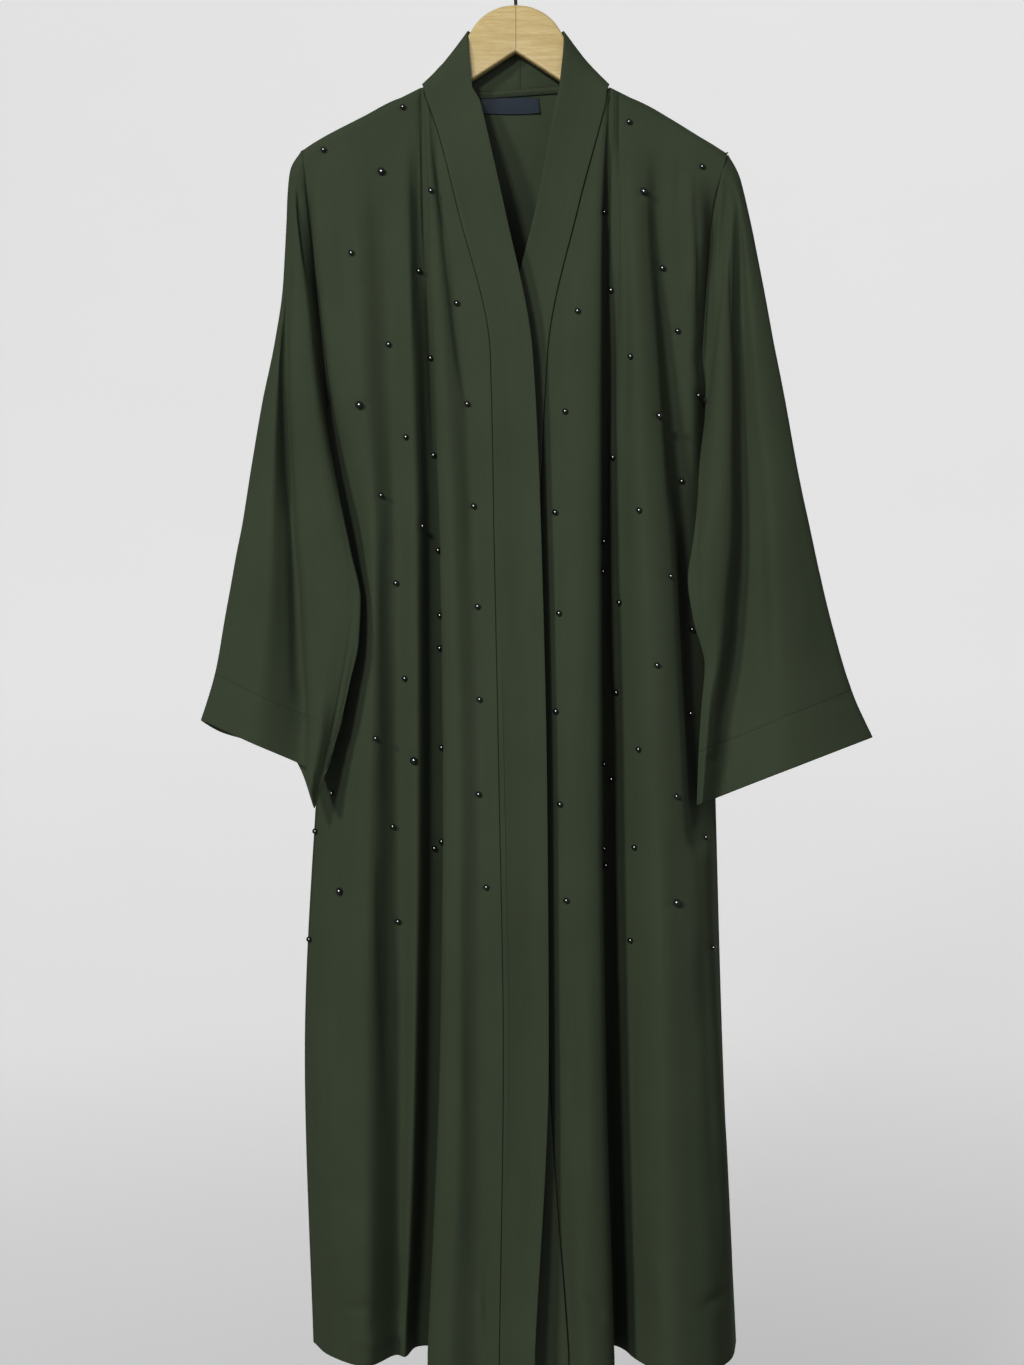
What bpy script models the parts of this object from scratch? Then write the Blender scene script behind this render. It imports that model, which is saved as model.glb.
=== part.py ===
"""Open-front abaya with wide sleeves, hanging on a flat wooden hanger.

The origin is the top of the hook's inside, where a rail bears. The front faces
-Y, +Z is up, and the wearer's right side lies at -X.
"""

import bpy
import bmesh
from math import cos, exp, hypot, pi, sin, sqrt
from mathutils import Vector

# driving sizes, in metres unless a table says otherwise
GRID = 0.00106          # one division of the measuring grid of the tables
VIEW_DISTANCE = 1.90    # the tables' widths and drops are seen from here
VIEW_X = -0.004
VIEW_Z = -0.772
HEM_Z = -1.478
CLOTH = 0.0016
BAND = 0.0022
LABEL = 0.0008
SEAM = 0.0003
SEAM_REST = 0.0011      # half the distance of two walls that turn into a seam
ARM_HALF = 0.0088       # hanger's half thickness and the air beside it
SHOULDER_EASE = 0.11
NECK_STAND = 0.0154     # the back's top edge below the neck, behind the hanger

HANGER_THICK = 0.011
HANGER_BEVEL = 0.0028
HOOK_WIRE = 0.0035
HOOK_INNER = 0.017

TIP_DROP = 196.0        # shoulder tip below the rail, in divisions
ARMPIT_DROP = 446.0
ARMHOLE_HALF = 0.0150

# drops at which the tables below give widths and depths, in divisions
LEVELS = (140, 176, 250, 400, 600, 850, 1100, 1400)

# shoulder and neck line: distance from the middle, drop (divisions)
SHOULDER = ((94, 133.0), (116, 144.0), (156, 164.0), (196, 185.0), (213, 196.0),
            (222, 203.0))
BACK_NECK = ((-94, 134.5), (-75, 138.5), (-33, 139.6), (0, 137.6), (44, 134.6), (75, 134.2),
             (94, 133.6))

# x of each line down the cloth at LEVELS (divisions from the middle), and how
# far it stands in front of the hanger's middle plane (mm)
FRONT_RIGHT = {
    "side":    ((-214, -214, -207, -191, -175, -200, -211, -202),
                None),
    "roll":    ((-196, -195, -196, -179, -156, -184, -194, -186),
                (9, 14, 21, 24, 15, 12, 16, 20)),
    "flat":    ((-166, -166, -164, -156, -143, -154, -162, -160),
                (9, 16, 28, 34, 37, 40, 44, 50)),
    "valley":  ((-140, -134, -131, -128, -124, -122, -122, -124),
                (9, 15, 22, 26, 28, 27, 25, 22)),
    "ridge":   ((-124, -115, -112, -108, -103, -103, -108, -117),
                (9, 17, 28, 36, 41, 43, 45, 42)),
    "floor":   ((-112, -100, -97, -93, -88, -87, -91, -102),
                (9, 14, 19, 18, 11, 5, 1, -3)),
    "under":   ((-106, -94, -89, -81, -73, -70, -72, -83),
                (9, 13, 17, 14, 7, 1, -3, -6)),
    "edge":    ((-102, -91, -90, -83, -75, -72, -74.5, -87),
                (9, 16, 25, 35, 43, 49, 53, 58)),
    "crown":   ((-99, -87, -82, -73, -63, -57, -57, -67),
                (9, 18, 30, 43, 53, 60, 65, 71)),
    "dip":     ((-96, -83, -71, -52, -42, -37, -35, -39),
                (9, 17, 26, 39, 50, 58, 62, 66)),
    "seam":    ((-92, -79, -60, -26, -22, -17, -13, -17),
                (9, 17, 27, 41, 54, 62, 66, 70)),
}
FRONT_LEFT = {
    "seam":    ((93.5, 84, 64, 32.5, 25, 27, 33.5, 54),
                (9, 15, 22, 28, 32, 38, 44, 50)),
    "crown_a": ((96.5, 87.5, 76, 58, 52, 54, 58, 72),
                (9, 18, 32, 42, 50, 56, 62, 70)),
    "edge":    ((99.5, 91, 86.5, 84.5, 83.5, 84, 87, 96),
                (9, 17, 30, 40, 48, 53, 56, 60)),
    "under":   ((102.5, 94, 88.5, 86, 85, 86, 89, 98),
                (9, 13, 14, 8, 2, -3, -6, -8)),
    "floor":   ((106, 98, 94, 96, 97, 99, 101, 107),
                (9, 14, 17, 13, 9, 6, 3, 1)),
    "step":    ((111, 103, 100, 104, 107, 112, 116, 121),
                (9, 16, 25, 27, 28, 29, 30, 32)),
    "crown_b": ((120, 113, 114, 122, 130, 140, 148, 154),
                (9, 18, 35, 45, 53, 59, 65, 73)),
    "slope":   ((136, 130, 130, 140, 150, 166, 176, 186),
                (9, 17, 32, 39, 44, 51, 58, 66)),
    "valley":  ((150, 146, 141, 152, 163, 180, 190, 202),
                (9, 16, 26, 28, 24, 34, 42, 50)),
    "roll":    ((180, 178, 172, 170, 175, 190, 199, 212),
                (9, 14, 24, 22, 10, 12, 18, 22)),
    "side":    ((214, 214, 197, 188, 194, 200, 207, 221),
                None),
}
# both side seams lie this far behind the hanger's middle plane (mm)
SIDE_BACK = (0, 0, 1, 4, 13, 16, 18, 20)

# lines down the back: share of the width at the shoulder and at the hem, and
# depth behind the hanger's plane at LEVELS (mm)
BACK = {
    "turn_r":  (0.05, 0.05, (9, 13, 20, 24, 28, 34, 42, 48)),
    "fold_1":  (0.14, 0.15, (9, 14, 24, 33, 45, 60, 72, 84)),
    "dip_1":   (0.23, 0.23, (9, 13, 20, 25, 27, 29, 30, 28)),
    "fold_2":  (0.32, 0.31, (10, 15, 25, 35, 48, 62, 74, 88)),
    "dip_2":   (0.41, 0.39, (13, 15, 21, 27, 32, 34, 34, 33)),
    "fold_3":  (0.50, 0.48, (15, 17, 24, 34, 47, 60, 73, 82)),
    "dip_3":   (0.59, 0.58, (13, 15, 21, 26, 30, 30, 28, 26)),
    "fold_4":  (0.68, 0.67, (10, 15, 25, 35, 50, 65, 78, 92)),
    "dip_4":   (0.77, 0.76, (9, 13, 20, 25, 29, 33, 35, 35)),
    "fold_5":  (0.86, 0.86, (9, 14, 23, 32, 42, 54, 66, 78)),
    "turn_l":  (0.95, 0.95, (9, 13, 20, 24, 27, 33, 40, 46)),
}

# free edges of the two bands, as on the fronts
BAND_EDGE_RIGHT = ((-38, -29, -12, 17, 26, 31.5, 33, 19),
                   (10, 20, 32, 46, 58, 68, 74, 84))
BAND_EDGE_LEFT = ((42, 35, 20.5, -12, -20, -19, -13, 6),
                  (10, 13, 17, 20, 24, 29, 34, 40))
# a band round the neck to the middle of the back: seam x and drop, free edge x
# and drop (divisions), and how far each stands in front of the hanger (mm);
# behind the neck the seam has the drop of the back's own edge
NECK = (
    # seam_x seam_drop seam_fwd edge_x edge_drop edge_fwd
    (92.5, 136.5, 9.8, 43.5, 133.0, 11.5),
    (93.8, 133.0, 8.0, 45.5, 115.0, 11.5),
    (94.6, 131.2, 4.0, 47.5, 97.0, 11.5),
    (94.8, 131.0, 0.5, 48.5, 85.0, 10.0),
    (94.6, 131.0, -3.0, 49.0, 78.0, 3.5),
    (92.5, 132.0, -9.0, 48.0, 76.5, -4.5),
    (80.0, None, -13.5, 43.0, 81.0, -11.0),
    (50.0, None, -15.0, 30.0, 86.0, -12.8),
    (24.0, None, -15.4, 16.0, 88.0, -13.2),
    (0.15, None, -15.6, 0.15, 88.5, -13.4),
)

# rings of each sleeve from the armhole to the hem: outer and inner end
# (divisions), where the valley and the fold's edge lie between them (shares),
# depths in front of the hanger's plane (mm), and how much the hem is caught up
SLEEVE_COLUMNS = ("outer_x", "outer_drop", "inner_x", "inner_drop", "valley", "edge",
                  "outer", "lobe", "deep", "ridge", "crown", "inner", "back", "lift")
SLEEVE_RIGHT = (
    (-226, 218, -190, 466, .08, .18, 0, 10, 13, 17, 17, 2, -14, 0),
    (-230, 271, -184, 501, .07, .16, 0, 12, 15, 22, 25, 12, -15, 0),
    (-233, 331, -175, 549, .07, .14, 2, 12, 13, 27, 33, 23, -15, 0),
    (-242, 391, -165, 596, .10, .15, 4, 14, 10, 30, 40, 31, -13, 0),
    (-254, 451, -155, 646, .20, .26, 6, 20, 12, 35, 47, 39, -9, 0),
    (-265, 516, -157, 688, .31, .38, 8, 27, 17, 41, 53, 44, -3, 0),
    (-277, 591, -165, 726, .44, .52, 9, 33, 21, 47, 57, 47, -1, 2),
    (-289, 656, -172, 758, .55, .63, 10, 38, 26, 51, 59, 48, -1, 8),
    (-301, 720, -182, 796, .67, .75, 11, 42, 31, 54, 59, 48, -1, 18),
    (-315, 766, -201, 854, .84, .92, 12, 44, 36, 54, 57, 48, -1, 33),
)
SLEEVE_LEFT = (
    (224, 218, 189, 466, .14, .30, 0, 10, 12, 16, 16, 2, -14, 0),
    (235, 268, 184, 506, .28, .42, 0, 17, 13, 22, 23, 12, -15, 0),
    (247, 326, 181, 546, .40, .53, 2, 24, 14, 27, 31, 21, -15, 0),
    (258, 386, 177, 586, .45, .58, 4, 30, 15, 33, 38, 30, -13, 0),
    (270, 448, 172, 626, .49, .64, 6, 36, 16, 38, 44, 38, -9, 0),
    (283, 521, 178, 666, .60, .74, 8, 42, 19, 43, 49, 43, -3, 0),
    (299, 594, 189, 711, .72, .84, 9, 47, 24, 46, 51, 45, -2, 0),
    (317, 671, 186, 751, .80, .90, 10, 51, 29, 48, 52, 46, -2, 0),
    (336, 736, 183, 798, .84, .93, 11, 54, 33, 49, 53, 47, -2, 0),
    (357, 783, 181, 851, .87, .95, 12, 56, 36, 50, 53, 47, -2, 0),
)
CUFF_ROW = 8            # the ring where the cuff's seam lies, counted from the first

# hanger: distance from the middle, top and bottom edge drops (divisions)
HANGER = ((0, 52.0, 98.5), (12, 53.4, 106.3), (24, 57.8, 114.1), (36, 66.3, 121.9),
          (46, 80.0, 128.4), (56, 98.5, 135.0), (70, 121.5, 145.0), (84, 136.0, 156.0),
          (98, 143.0, 165.0), (120, 154.0, 178.0), (150, 169.0, 193.5),
          (180, 185.0, 207.0), (198, 197.0, 214.0), (205, 203.0, 212.0))

LABEL_X = (-34, 23)     # label's ends and drops (divisions)
LABEL_DROP = (143.5, 159.5)


def clamp(value, low, high):
    return max(low, min(high, value))


def ease(t):
    t = clamp(t, 0.0, 1.0)
    return t * t * (3.0 - 2.0 * t)


def track(knots, values):
    """A smooth line through values at knots that never overshoots them."""
    gaps = [b - a for a, b in zip(knots, knots[1:])]
    rises = [(b - a) / g for a, b, g in zip(values, values[1:], gaps)]
    slopes = [rises[0]]
    for left, right in zip(rises, rises[1:]):
        slopes.append(0.0 if left * right <= 0.0 else 2.0 * left * right / (left + right))
    slopes.append(rises[-1])

    def at(knot):
        knot = clamp(knot, knots[0], knots[-1])
        i = 0
        while i < len(gaps) - 1 and knot > knots[i + 1]:
            i += 1
        t = (knot - knots[i]) / gaps[i]
        return (values[i] * (1 + 2 * t) * (1 - t) ** 2 + values[i + 1] * t * t * (3 - 2 * t)
                + gaps[i] * (slopes[i] * t * (1 - t) ** 2 - slopes[i + 1] * t * t * (1 - t)))

    return at


def through(points, sub, closed=False):
    """A centripetal curve through points, with sub steps between two of them."""
    count = len(points)
    if closed:
        padded = [points[-1]] + list(points) + [points[0], points[1]]
    else:
        first = points[0] * 2.0 - points[1]
        last = points[-1] * 2.0 - points[-2]
        padded = [first] + list(points) + [last]
    result = []
    for i in range(count if closed else count - 1):
        p0, p1, p2, p3 = padded[i:i + 4]
        t0 = 0.0
        t1 = t0 + sqrt((p1 - p0).length) + 1e-9
        t2 = t1 + sqrt((p2 - p1).length) + 1e-9
        t3 = t2 + sqrt((p3 - p2).length) + 1e-9
        for step in range(sub):
            t = t1 + (t2 - t1) * step / sub
            a1 = p0 * ((t1 - t) / (t1 - t0)) + p1 * ((t - t0) / (t1 - t0))
            a2 = p1 * ((t2 - t) / (t2 - t1)) + p2 * ((t - t1) / (t2 - t1))
            a3 = p2 * ((t3 - t) / (t3 - t2)) + p3 * ((t - t2) / (t3 - t2))
            b1 = a1 * ((t2 - t) / (t2 - t0)) + a2 * ((t - t0) / (t2 - t0))
            b2 = a2 * ((t3 - t) / (t3 - t1)) + a3 * ((t - t1) / (t3 - t1))
            result.append(b1 * ((t2 - t) / (t2 - t1)) + b2 * ((t - t1) / (t2 - t1)))
    if not closed:
        result.append(points[-1].copy())
    return result


def seen(x, drop, forward):
    """The true place of a point that is seen at x and drop from the front."""
    scale = 1.0 - forward / VIEW_DISTANCE
    return Vector((VIEW_X + (x * GRID - VIEW_X) * scale, -forward,
                   VIEW_Z + (-drop * GRID - VIEW_Z) * scale))


def seen_drop(z, forward):
    """The drop, in divisions, at which a true height is seen."""
    return -(VIEW_Z + (z - VIEW_Z) / (1.0 - forward / VIEW_DISTANCE)) / GRID


shoulder = track([row[0] for row in SHOULDER], [row[1] for row in SHOULDER])
back_neck_drop = track([row[0] for row in BACK_NECK], [row[1] for row in BACK_NECK])
side_back = track(LEVELS, [value / 1000.0 for value in SIDE_BACK])


def bend(distance, reach, depth):
    """A wall's round turn away from a seam: how far it stands off at a distance."""
    t = clamp(distance / reach, 0.0, 1.0)
    return SEAM_REST + (depth - SEAM_REST) * sqrt(max(0.0, 1.0 - (1.0 - t) ** 2))


def shoulder_drop(x):
    """The drop of the shoulder line on either side."""
    return shoulder(abs(x))


def armhole_half(drop):
    """Half the armhole's depth, from front to back, at a drop."""
    below = (drop - TIP_DROP) * GRID
    above = (ARMPIT_DROP - drop) * GRID
    wide = bend(below, ARM_HALF, ARM_HALF) + (ARMHOLE_HALF - ARM_HALF) * ease(below / 0.07)
    return min(wide, bend(above, 0.05, ARMHOLE_HALF))


class Line:
    """A line down the cloth: x and distance in front of the hanger by drop."""

    def __init__(self, widths, depths):
        self.x = track(LEVELS, widths)
        self.depth = track(LEVELS, [d / 1000.0 for d in depths]) if depths else None

    def forward(self, drop, side):
        if self.depth is not None:
            return self.depth(drop) * side
        return armhole_half(drop) * side - side_back(drop)

    def top(self, top_drop):
        """The drop at which the line leaves the shoulder."""
        drop = TIP_DROP
        for _ in range(12):
            drop = top_drop(self.x(drop))
        return drop

    def place(self, share, side, top_drop, stand=0.0):
        """A point at a share of the way from the shoulder to the hem.

        Near the top it stands at least `stand` away from the middle plane.
        """
        top = self.top(top_drop)
        hem = seen_drop(HEM_Z, self.forward(LEVELS[-1], side))
        drop = top + (hem - top) * share
        below = (drop - top) * GRID
        forward = self.forward(drop, side)
        if self.depth is not None:
            start = side * max(bend(below, ARM_HALF, ARM_HALF), stand)
            forward = start + (forward - start) * ease(below / SHOULDER_EASE)
        return seen(self.x(drop), drop, forward)


def front_grid(table, shares, sub):
    """A front panel's points: rows down the cloth, columns across it."""
    lines = [Line(widths, depths) for widths, depths in table.values()]
    rows = []
    for share in shares:
        rows.append(through([line.place(share, 1.0, shoulder_drop) for line in lines], sub))
    return rows


def back_top(x):
    """The drop of the back panel's top edge: its neck seam, then the shoulders."""
    return back_neck_drop(x) if abs(x) < 94.0 else shoulder_drop(x)


def back_lines():
    """The back's lines, spread between the two side seams at every level."""
    right = Line(FRONT_RIGHT["side"][0], None)
    left = Line(FRONT_LEFT["side"][0], None)
    lines = [right]
    for at_top, at_hem, depths in BACK.values():
        widths = []
        for i, drop in enumerate(LEVELS):
            share = at_top + (at_hem - at_top) * i / (len(LEVELS) - 1)
            widths.append(right.x(drop) + (left.x(drop) - right.x(drop)) * share)
        lines.append(Line(widths, depths))
    lines.append(left)
    return lines


def back_grid(shares, sub):
    """The back panel's points: rows down the cloth, columns across it."""
    lines = back_lines()
    rows = []
    for share in shares:
        points = []
        for line in lines:
            # below the neck the cloth hangs behind the band, not over the arm
            stand = NECK_STAND * ease((98.0 - abs(line.x(140.0))) / 30.0)
            points.append(line.place(share, -1.0, back_top, stand))
        rows.append(through(points, sub))
    return rows


def band_grid(side_name, rows_below, sub):
    """A band from the hem to the middle of the back, rows up and columns across."""
    right = side_name == "right"
    table = FRONT_RIGHT if right else FRONT_LEFT
    seam_line = Line(*table["seam"])
    edge_line = Line(*(BAND_EDGE_RIGHT if right else BAND_EDGE_LEFT))
    sign = -1.0 if right else 1.0
    rows = []
    for i in range(rows_below):
        share = 1.0 - 0.995 * i / (rows_below - 1)
        top = seam_line.top(shoulder_drop)
        hem = seen_drop(HEM_Z, seam_line.forward(LEVELS[-1], 1.0))
        drop = top + (hem - top) * share
        if (drop - top) < 12.0:
            continue
        seam = seam_line.place(share, 1.0, shoulder_drop)
        forward = edge_line.forward(drop, 1.0)
        edge_drop = drop if share < 1.0 else seen_drop(HEM_Z, forward)
        edge = seen(edge_line.x(drop), edge_drop - 3.0 * (1.0 - ease((drop - top) / 90.0)), forward)
        rows.append((seam, edge))
    for seam_x, seam_at, seam_fwd, edge_x, edge_drop, edge_fwd in NECK:
        if seam_at is None:
            seam_at = back_top(sign * seam_x) - 0.4
        rows.append((seen(sign * seam_x, seam_at, seam_fwd / 1000.0),
                     seen(sign * edge_x, edge_drop, edge_fwd / 1000.0)))
    seams = [row[0] for row in rows]
    edges = [row[1] for row in rows]
    grid = []
    for i, (seam, edge) in enumerate(zip(seams, edges)):
        low = seams[max(0, i - 1)]
        high = seams[min(len(seams) - 1, i + 1)]
        across = (edge - seam).normalized()
        out = across.cross((high - low).normalized()) * (1.0 if not right else -1.0)
        start = seam + across * (SEAM + 0.0010)
        bow = 0.0022
        row = []
        for k in range(sub + 1):
            t = k / sub
            row.append(start.lerp(edge, t) + out.normalized() * bow * sin(pi * t))
        grid.append(row)
    return grid


def sleeve_rings(table, side_name):
    """Rings of control points from the armhole to the hem."""
    right = side_name == "right"
    sign = -1.0 if right else 1.0
    side = Line((FRONT_RIGHT if right else FRONT_LEFT)["side"][0], None)
    rows = [dict(zip(SLEEVE_COLUMNS, values)) for values in table]
    rings = []
    first = rows[0]
    shares = front_shares(first)
    ring = []
    for share in shares:
        drop = TIP_DROP + (ARMPIT_DROP - TIP_DROP) * share
        ring.append(seen(side.x(drop), drop, side.forward(drop, 1.0))
                    + Vector((sign * (SEAM + 0.0011), 0, 0)))
    for share in BACK_SHARES:
        drop = TIP_DROP + (ARMPIT_DROP - TIP_DROP) * share
        ring.append(seen(side.x(drop), drop, side.forward(drop, -1.0))
                    + Vector((sign * (SEAM + 0.0011), 0, 0)))
    ring[0].y = 0.0
    ring[len(shares) - 1] += Vector((0, 0, -0.0035))
    rings.append(ring)
    for row in rows:
        shares = front_shares(row)
        depths = (row["outer"], row["lobe"], row["deep"], row["ridge"], row["crown"],
                  row["inner"])
        ring = []
        for share, depth in zip(shares, depths):
            x = row["outer_x"] + (row["inner_x"] - row["outer_x"]) * share
            drop = row["outer_drop"] + (row["inner_drop"] - row["outer_drop"]) * share
            caught = row["lift"] * (1.0 - ease((share - 0.93) / 0.07)) * ease(share / 0.9)
            ring.append(seen(x, drop - caught, depth / 1000.0))
        for share in BACK_SHARES:
            x = row["outer_x"] + (row["inner_x"] - row["outer_x"]) * share
            drop = row["outer_drop"] + (row["inner_drop"] - row["outer_drop"]) * share
            lean = (row["inner"] - row["outer"]) * share * 0.55
            caught = row["lift"] * ease(share / 0.9) * 1.1
            ring.append(seen(x, drop - caught, (row["back"] + lean) / 1000.0))
        rings.append(ring)
    return rings


BACK_SHARES = (0.80, 0.48, 0.16)


def front_shares(row):
    """Where the ring's control points lie between its outer and inner ends."""
    crown = row["edge"] + (1.0 - row["edge"]) * 0.45
    return (0.0, row["valley"] * 0.5, row["valley"], row["edge"], crown, 1.0)


def sleeve_grid(table, side_name, steps, sub):
    """The whole sleeve as a grid: rings down the arm, closed columns round it."""
    rings = sleeve_rings(table, side_name)
    knots = list(range(len(rings)))
    count = len(rings[0])
    tracks = []
    for j in range(count):
        tracks.append([track(knots, [ring[j][axis] for ring in rings]) for axis in range(3)])
    grid = []
    for step in steps:
        controls = [Vector((axes[0](step), axes[1](step), axes[2](step))) for axes in tracks]
        grid.append(through(controls, sub, closed=True))
    return grid


def grid_normals(grid, closed):
    """The direction square to the cloth at each point of a grid."""
    rows = len(grid)
    columns = len(grid[0])
    normals = []
    for i in range(rows):
        line = []
        for j in range(columns):
            up = grid[max(0, i - 1)][j]
            down = grid[min(rows - 1, i + 1)][j]
            if closed:
                left = grid[i][(j - 1) % columns]
                right = grid[i][(j + 1) % columns]
            else:
                left = grid[i][max(0, j - 1)]
                right = grid[i][min(columns - 1, j + 1)]
            line.append((down - up).cross(right - left).normalized())
        normals.append(line)
    return normals


def wall(name, grid, thickness, material, closed=False, flip=False, normals=None):
    """A closed wall on a grid of points, its thickness laid on the inside."""
    rows = len(grid)
    columns = len(grid[0])
    normals = normals or grid_normals(grid, closed)
    inward = thickness if flip else -thickness
    bm = bmesh.new()
    outer = [[bm.verts.new(point) for point in row] for row in grid]
    inner = [[bm.verts.new(point + normal * inward) for point, normal in zip(row, line)]
             for row, line in zip(grid, normals)]
    last = columns if closed else columns - 1
    for i in range(rows - 1):
        for j in range(last):
            k = (j + 1) % columns
            bm.faces.new((outer[i][j], outer[i + 1][j], outer[i + 1][k], outer[i][k]))
            bm.faces.new((inner[i][j], inner[i][k], inner[i + 1][k], inner[i + 1][j]))
    for j in range(last):
        k = (j + 1) % columns
        for out, into in ((outer[0], inner[0]), (outer[-1], inner[-1])):
            bm.faces.new((out[j], out[k], into[k]))
            bm.faces.new((out[j], into[k], into[j]))
    if not closed:
        for i in range(rows - 1):
            bm.faces.new((outer[i][0], inner[i][0], inner[i + 1][0], outer[i + 1][0]))
            bm.faces.new((outer[i][-1], outer[i + 1][-1], inner[i + 1][-1], inner[i][-1]))
    bmesh.ops.recalc_face_normals(bm, faces=bm.faces)
    return as_object(name, bm, material)


def as_object(name, bm, material):
    mesh = bpy.data.meshes.new(name)
    bm.to_mesh(mesh)
    bm.free()
    mesh.materials.append(material)
    mesh.shade_smooth()
    item = bpy.data.objects.new(name, mesh)
    bpy.context.scene.collection.objects.link(item)
    return item


def surface(name, colour, roughness, metallic=0.0):
    material = bpy.data.materials.new(name)
    material.use_nodes = True
    node = material.node_tree.nodes["Principled BSDF"]
    node.inputs["Base Color"].default_value = (*colour, 1.0)
    node.inputs["Roughness"].default_value = roughness
    node.inputs["Metallic"].default_value = metallic
    return material


def build_hanger(material):
    """A flat wooden hanger: its outline between two edges, with round corners."""
    half = [row for row in HANGER]
    outline = [(x, top) for x, top, _ in reversed(half)]
    outline = [(-x, drop) for x, drop in outline] + [(x, top) for x, top, _ in half[1:]]
    outline += [(x, low) for x, _, low in reversed(half)]
    outline += [(-x, low) for x, _, low in half[1:]]
    bm = bmesh.new()
    front = [bm.verts.new((x * GRID, -HANGER_THICK / 2, -drop * GRID)) for x, drop in outline]
    face = bm.faces.new(front)
    grown = bmesh.ops.extrude_face_region(bm, geom=[face])
    moved = [v for v in grown["geom"] if isinstance(v, bmesh.types.BMVert)]
    bmesh.ops.translate(bm, verts=moved, vec=(0, HANGER_THICK, 0))
    bmesh.ops.recalc_face_normals(bm, faces=bm.faces)
    edges = [e for e in bm.edges if abs(e.verts[0].co.y - e.verts[1].co.y) < 1e-6]
    bmesh.ops.bevel(bm, geom=edges, offset=HANGER_BEVEL, offset_type="OFFSET", segments=2,
                    profile=0.5, affect="EDGES")
    bmesh.ops.triangulate(bm, faces=[f for f in bm.faces if len(f.verts) > 4])
    bmesh.ops.recalc_face_normals(bm, faces=bm.faces)
    return as_object("hanger", bm, material)


def hook_path():
    """The hook's middle line: stem, round bend and short open end."""
    ring = HOOK_INNER + HOOK_WIRE / 2
    middle = -HOOK_INNER
    stem_foot = -HANGER[0][1] * GRID + SEAM
    points = [Vector((0, 0, stem_foot)), Vector((0, 0, stem_foot + 0.010)),
              Vector((0.0015, 0, middle - ring - 0.002)),
              Vector((0.0105, 0, middle - ring + 0.004))]
    for degrees in range(-35, 201, 20):
        angle = degrees * pi / 180.0
        points.append(Vector((ring * cos(angle), 0, middle + ring * sin(angle))))
    return through(points, 2)


def build_hook(material):
    """Round wire along the hook's middle line, closed at both ends."""
    path = hook_path()
    sides = 10
    bm = bmesh.new()
    rings = []
    for i, point in enumerate(path):
        ahead = path[min(i + 1, len(path) - 1)] - path[max(i - 1, 0)]
        if i == 0:
            ahead = Vector((0, 0, 1))
        side = ahead.normalized().cross(Vector((0, 1, 0)))
        ring = []
        for k in range(sides):
            angle = 2 * pi * k / sides
            ring.append(bm.verts.new(point + (side * cos(angle) + Vector((0, 1, 0)) * sin(angle))
                                     * HOOK_WIRE / 2))
        rings.append(ring)
    for low, high in zip(rings, rings[1:]):
        for k in range(sides):
            n = (k + 1) % sides
            bm.faces.new((low[k], low[n], high[n], high[k]))
    bm.faces.new(rings[0])
    bm.faces.new(rings[-1])
    bmesh.ops.recalc_face_normals(bm, faces=bm.faces)
    return as_object("hook", bm, material)


def label_grid():
    """The label's points, just inside the back panel below its neck seam."""
    columns = 6
    rows = 3
    base = back_grid([i / 200.0 for i in range(14)], 6)
    grid = []
    for i in range(rows + 1):
        drop = LABEL_DROP[0] + (LABEL_DROP[1] - LABEL_DROP[0]) * i / rows
        row = []
        for j in range(columns + 1):
            x = LABEL_X[0] + (LABEL_X[1] - LABEL_X[0]) * j / columns
            sag = 1.2 * sin(pi * j / columns) * i / rows
            row.append(on_back(base, x, drop + sag))
        grid.append(row)
    return grid


def on_back(base, x, drop):
    """A point just inside the back panel, seen at x and drop."""
    target = seen(x, drop, -0.018)
    best = min((point for row in base for point in row),
               key=lambda point: hypot(point.x - target.x, point.z - target.z))
    near = [point for row in base for point in row
            if hypot(point.x - target.x, point.z - target.z) < 0.02] or [best]
    weights = [exp(-((p.x - target.x) ** 2 + (p.z - target.z) ** 2) / 0.00006) for p in near]
    depth = sum(p.y * w for p, w in zip(near, weights)) / sum(weights)
    return Vector((target.x, depth - CLOTH - 0.0012, target.z))


def build():
    for item in list(bpy.data.objects):
        bpy.data.objects.remove(item, do_unlink=True)
    cloth = surface("olive_crepe", (0.040, 0.054, 0.029), 0.85)
    wood = surface("pale_wood", (0.55, 0.42, 0.19), 0.5)
    metal = surface("dark_metal", (0.05, 0.05, 0.055), 0.35, 0.9)
    navy = surface("navy_label", (0.012, 0.016, 0.030), 0.7)

    shares = (0, .0035, .0085, .02, .04, .07, .11, .16, .22, .29, .36, .43, .5, .57, .64,
              .71, .78, .85, .92, 1)
    wall("front_right", front_grid(FRONT_RIGHT, shares, 2), CLOTH, cloth)
    wall("front_left", front_grid(FRONT_LEFT, shares, 2), CLOTH, cloth)
    wall("back", back_grid(shares, 2), CLOTH, cloth, flip=True)
    wall("band_right", band_grid("right", 22, 3), BAND, cloth, flip=True)
    wall("band_left", band_grid("left", 22, 3), BAND, cloth)

    last = float(CUFF_ROW + 1)
    arm_steps = [0, .35, .7, 1, 1.5, 2, 2.7, 3.4, 4.2, 5, 5.8, 6.6, 7.4, 8.2, last]
    cuff_steps = [last + .35, last + .7, last + 1.0]
    for side, table in (("right", SLEEVE_RIGHT), ("left", SLEEVE_LEFT)):
        flip = side == "left"
        grid = sleeve_grid(table, side, arm_steps + cuff_steps, 2)
        normals = grid_normals(grid, True)
        split = len(arm_steps)
        arm = grid[:split]
        cuff = [[a + (b - a).normalized() * SEAM for a, b in zip(arm[-1], grid[split])]]
        cuff += grid[split:]
        wall("sleeve_" + side, arm, CLOTH, cloth, True, flip, normals[:split])
        wall("cuff_" + side, cuff, CLOTH, cloth, True, flip, normals[split - 1:])

    wall("label", label_grid(), LABEL, navy)
    build_hanger(wood)
    build_hook(metal)


build()
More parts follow.
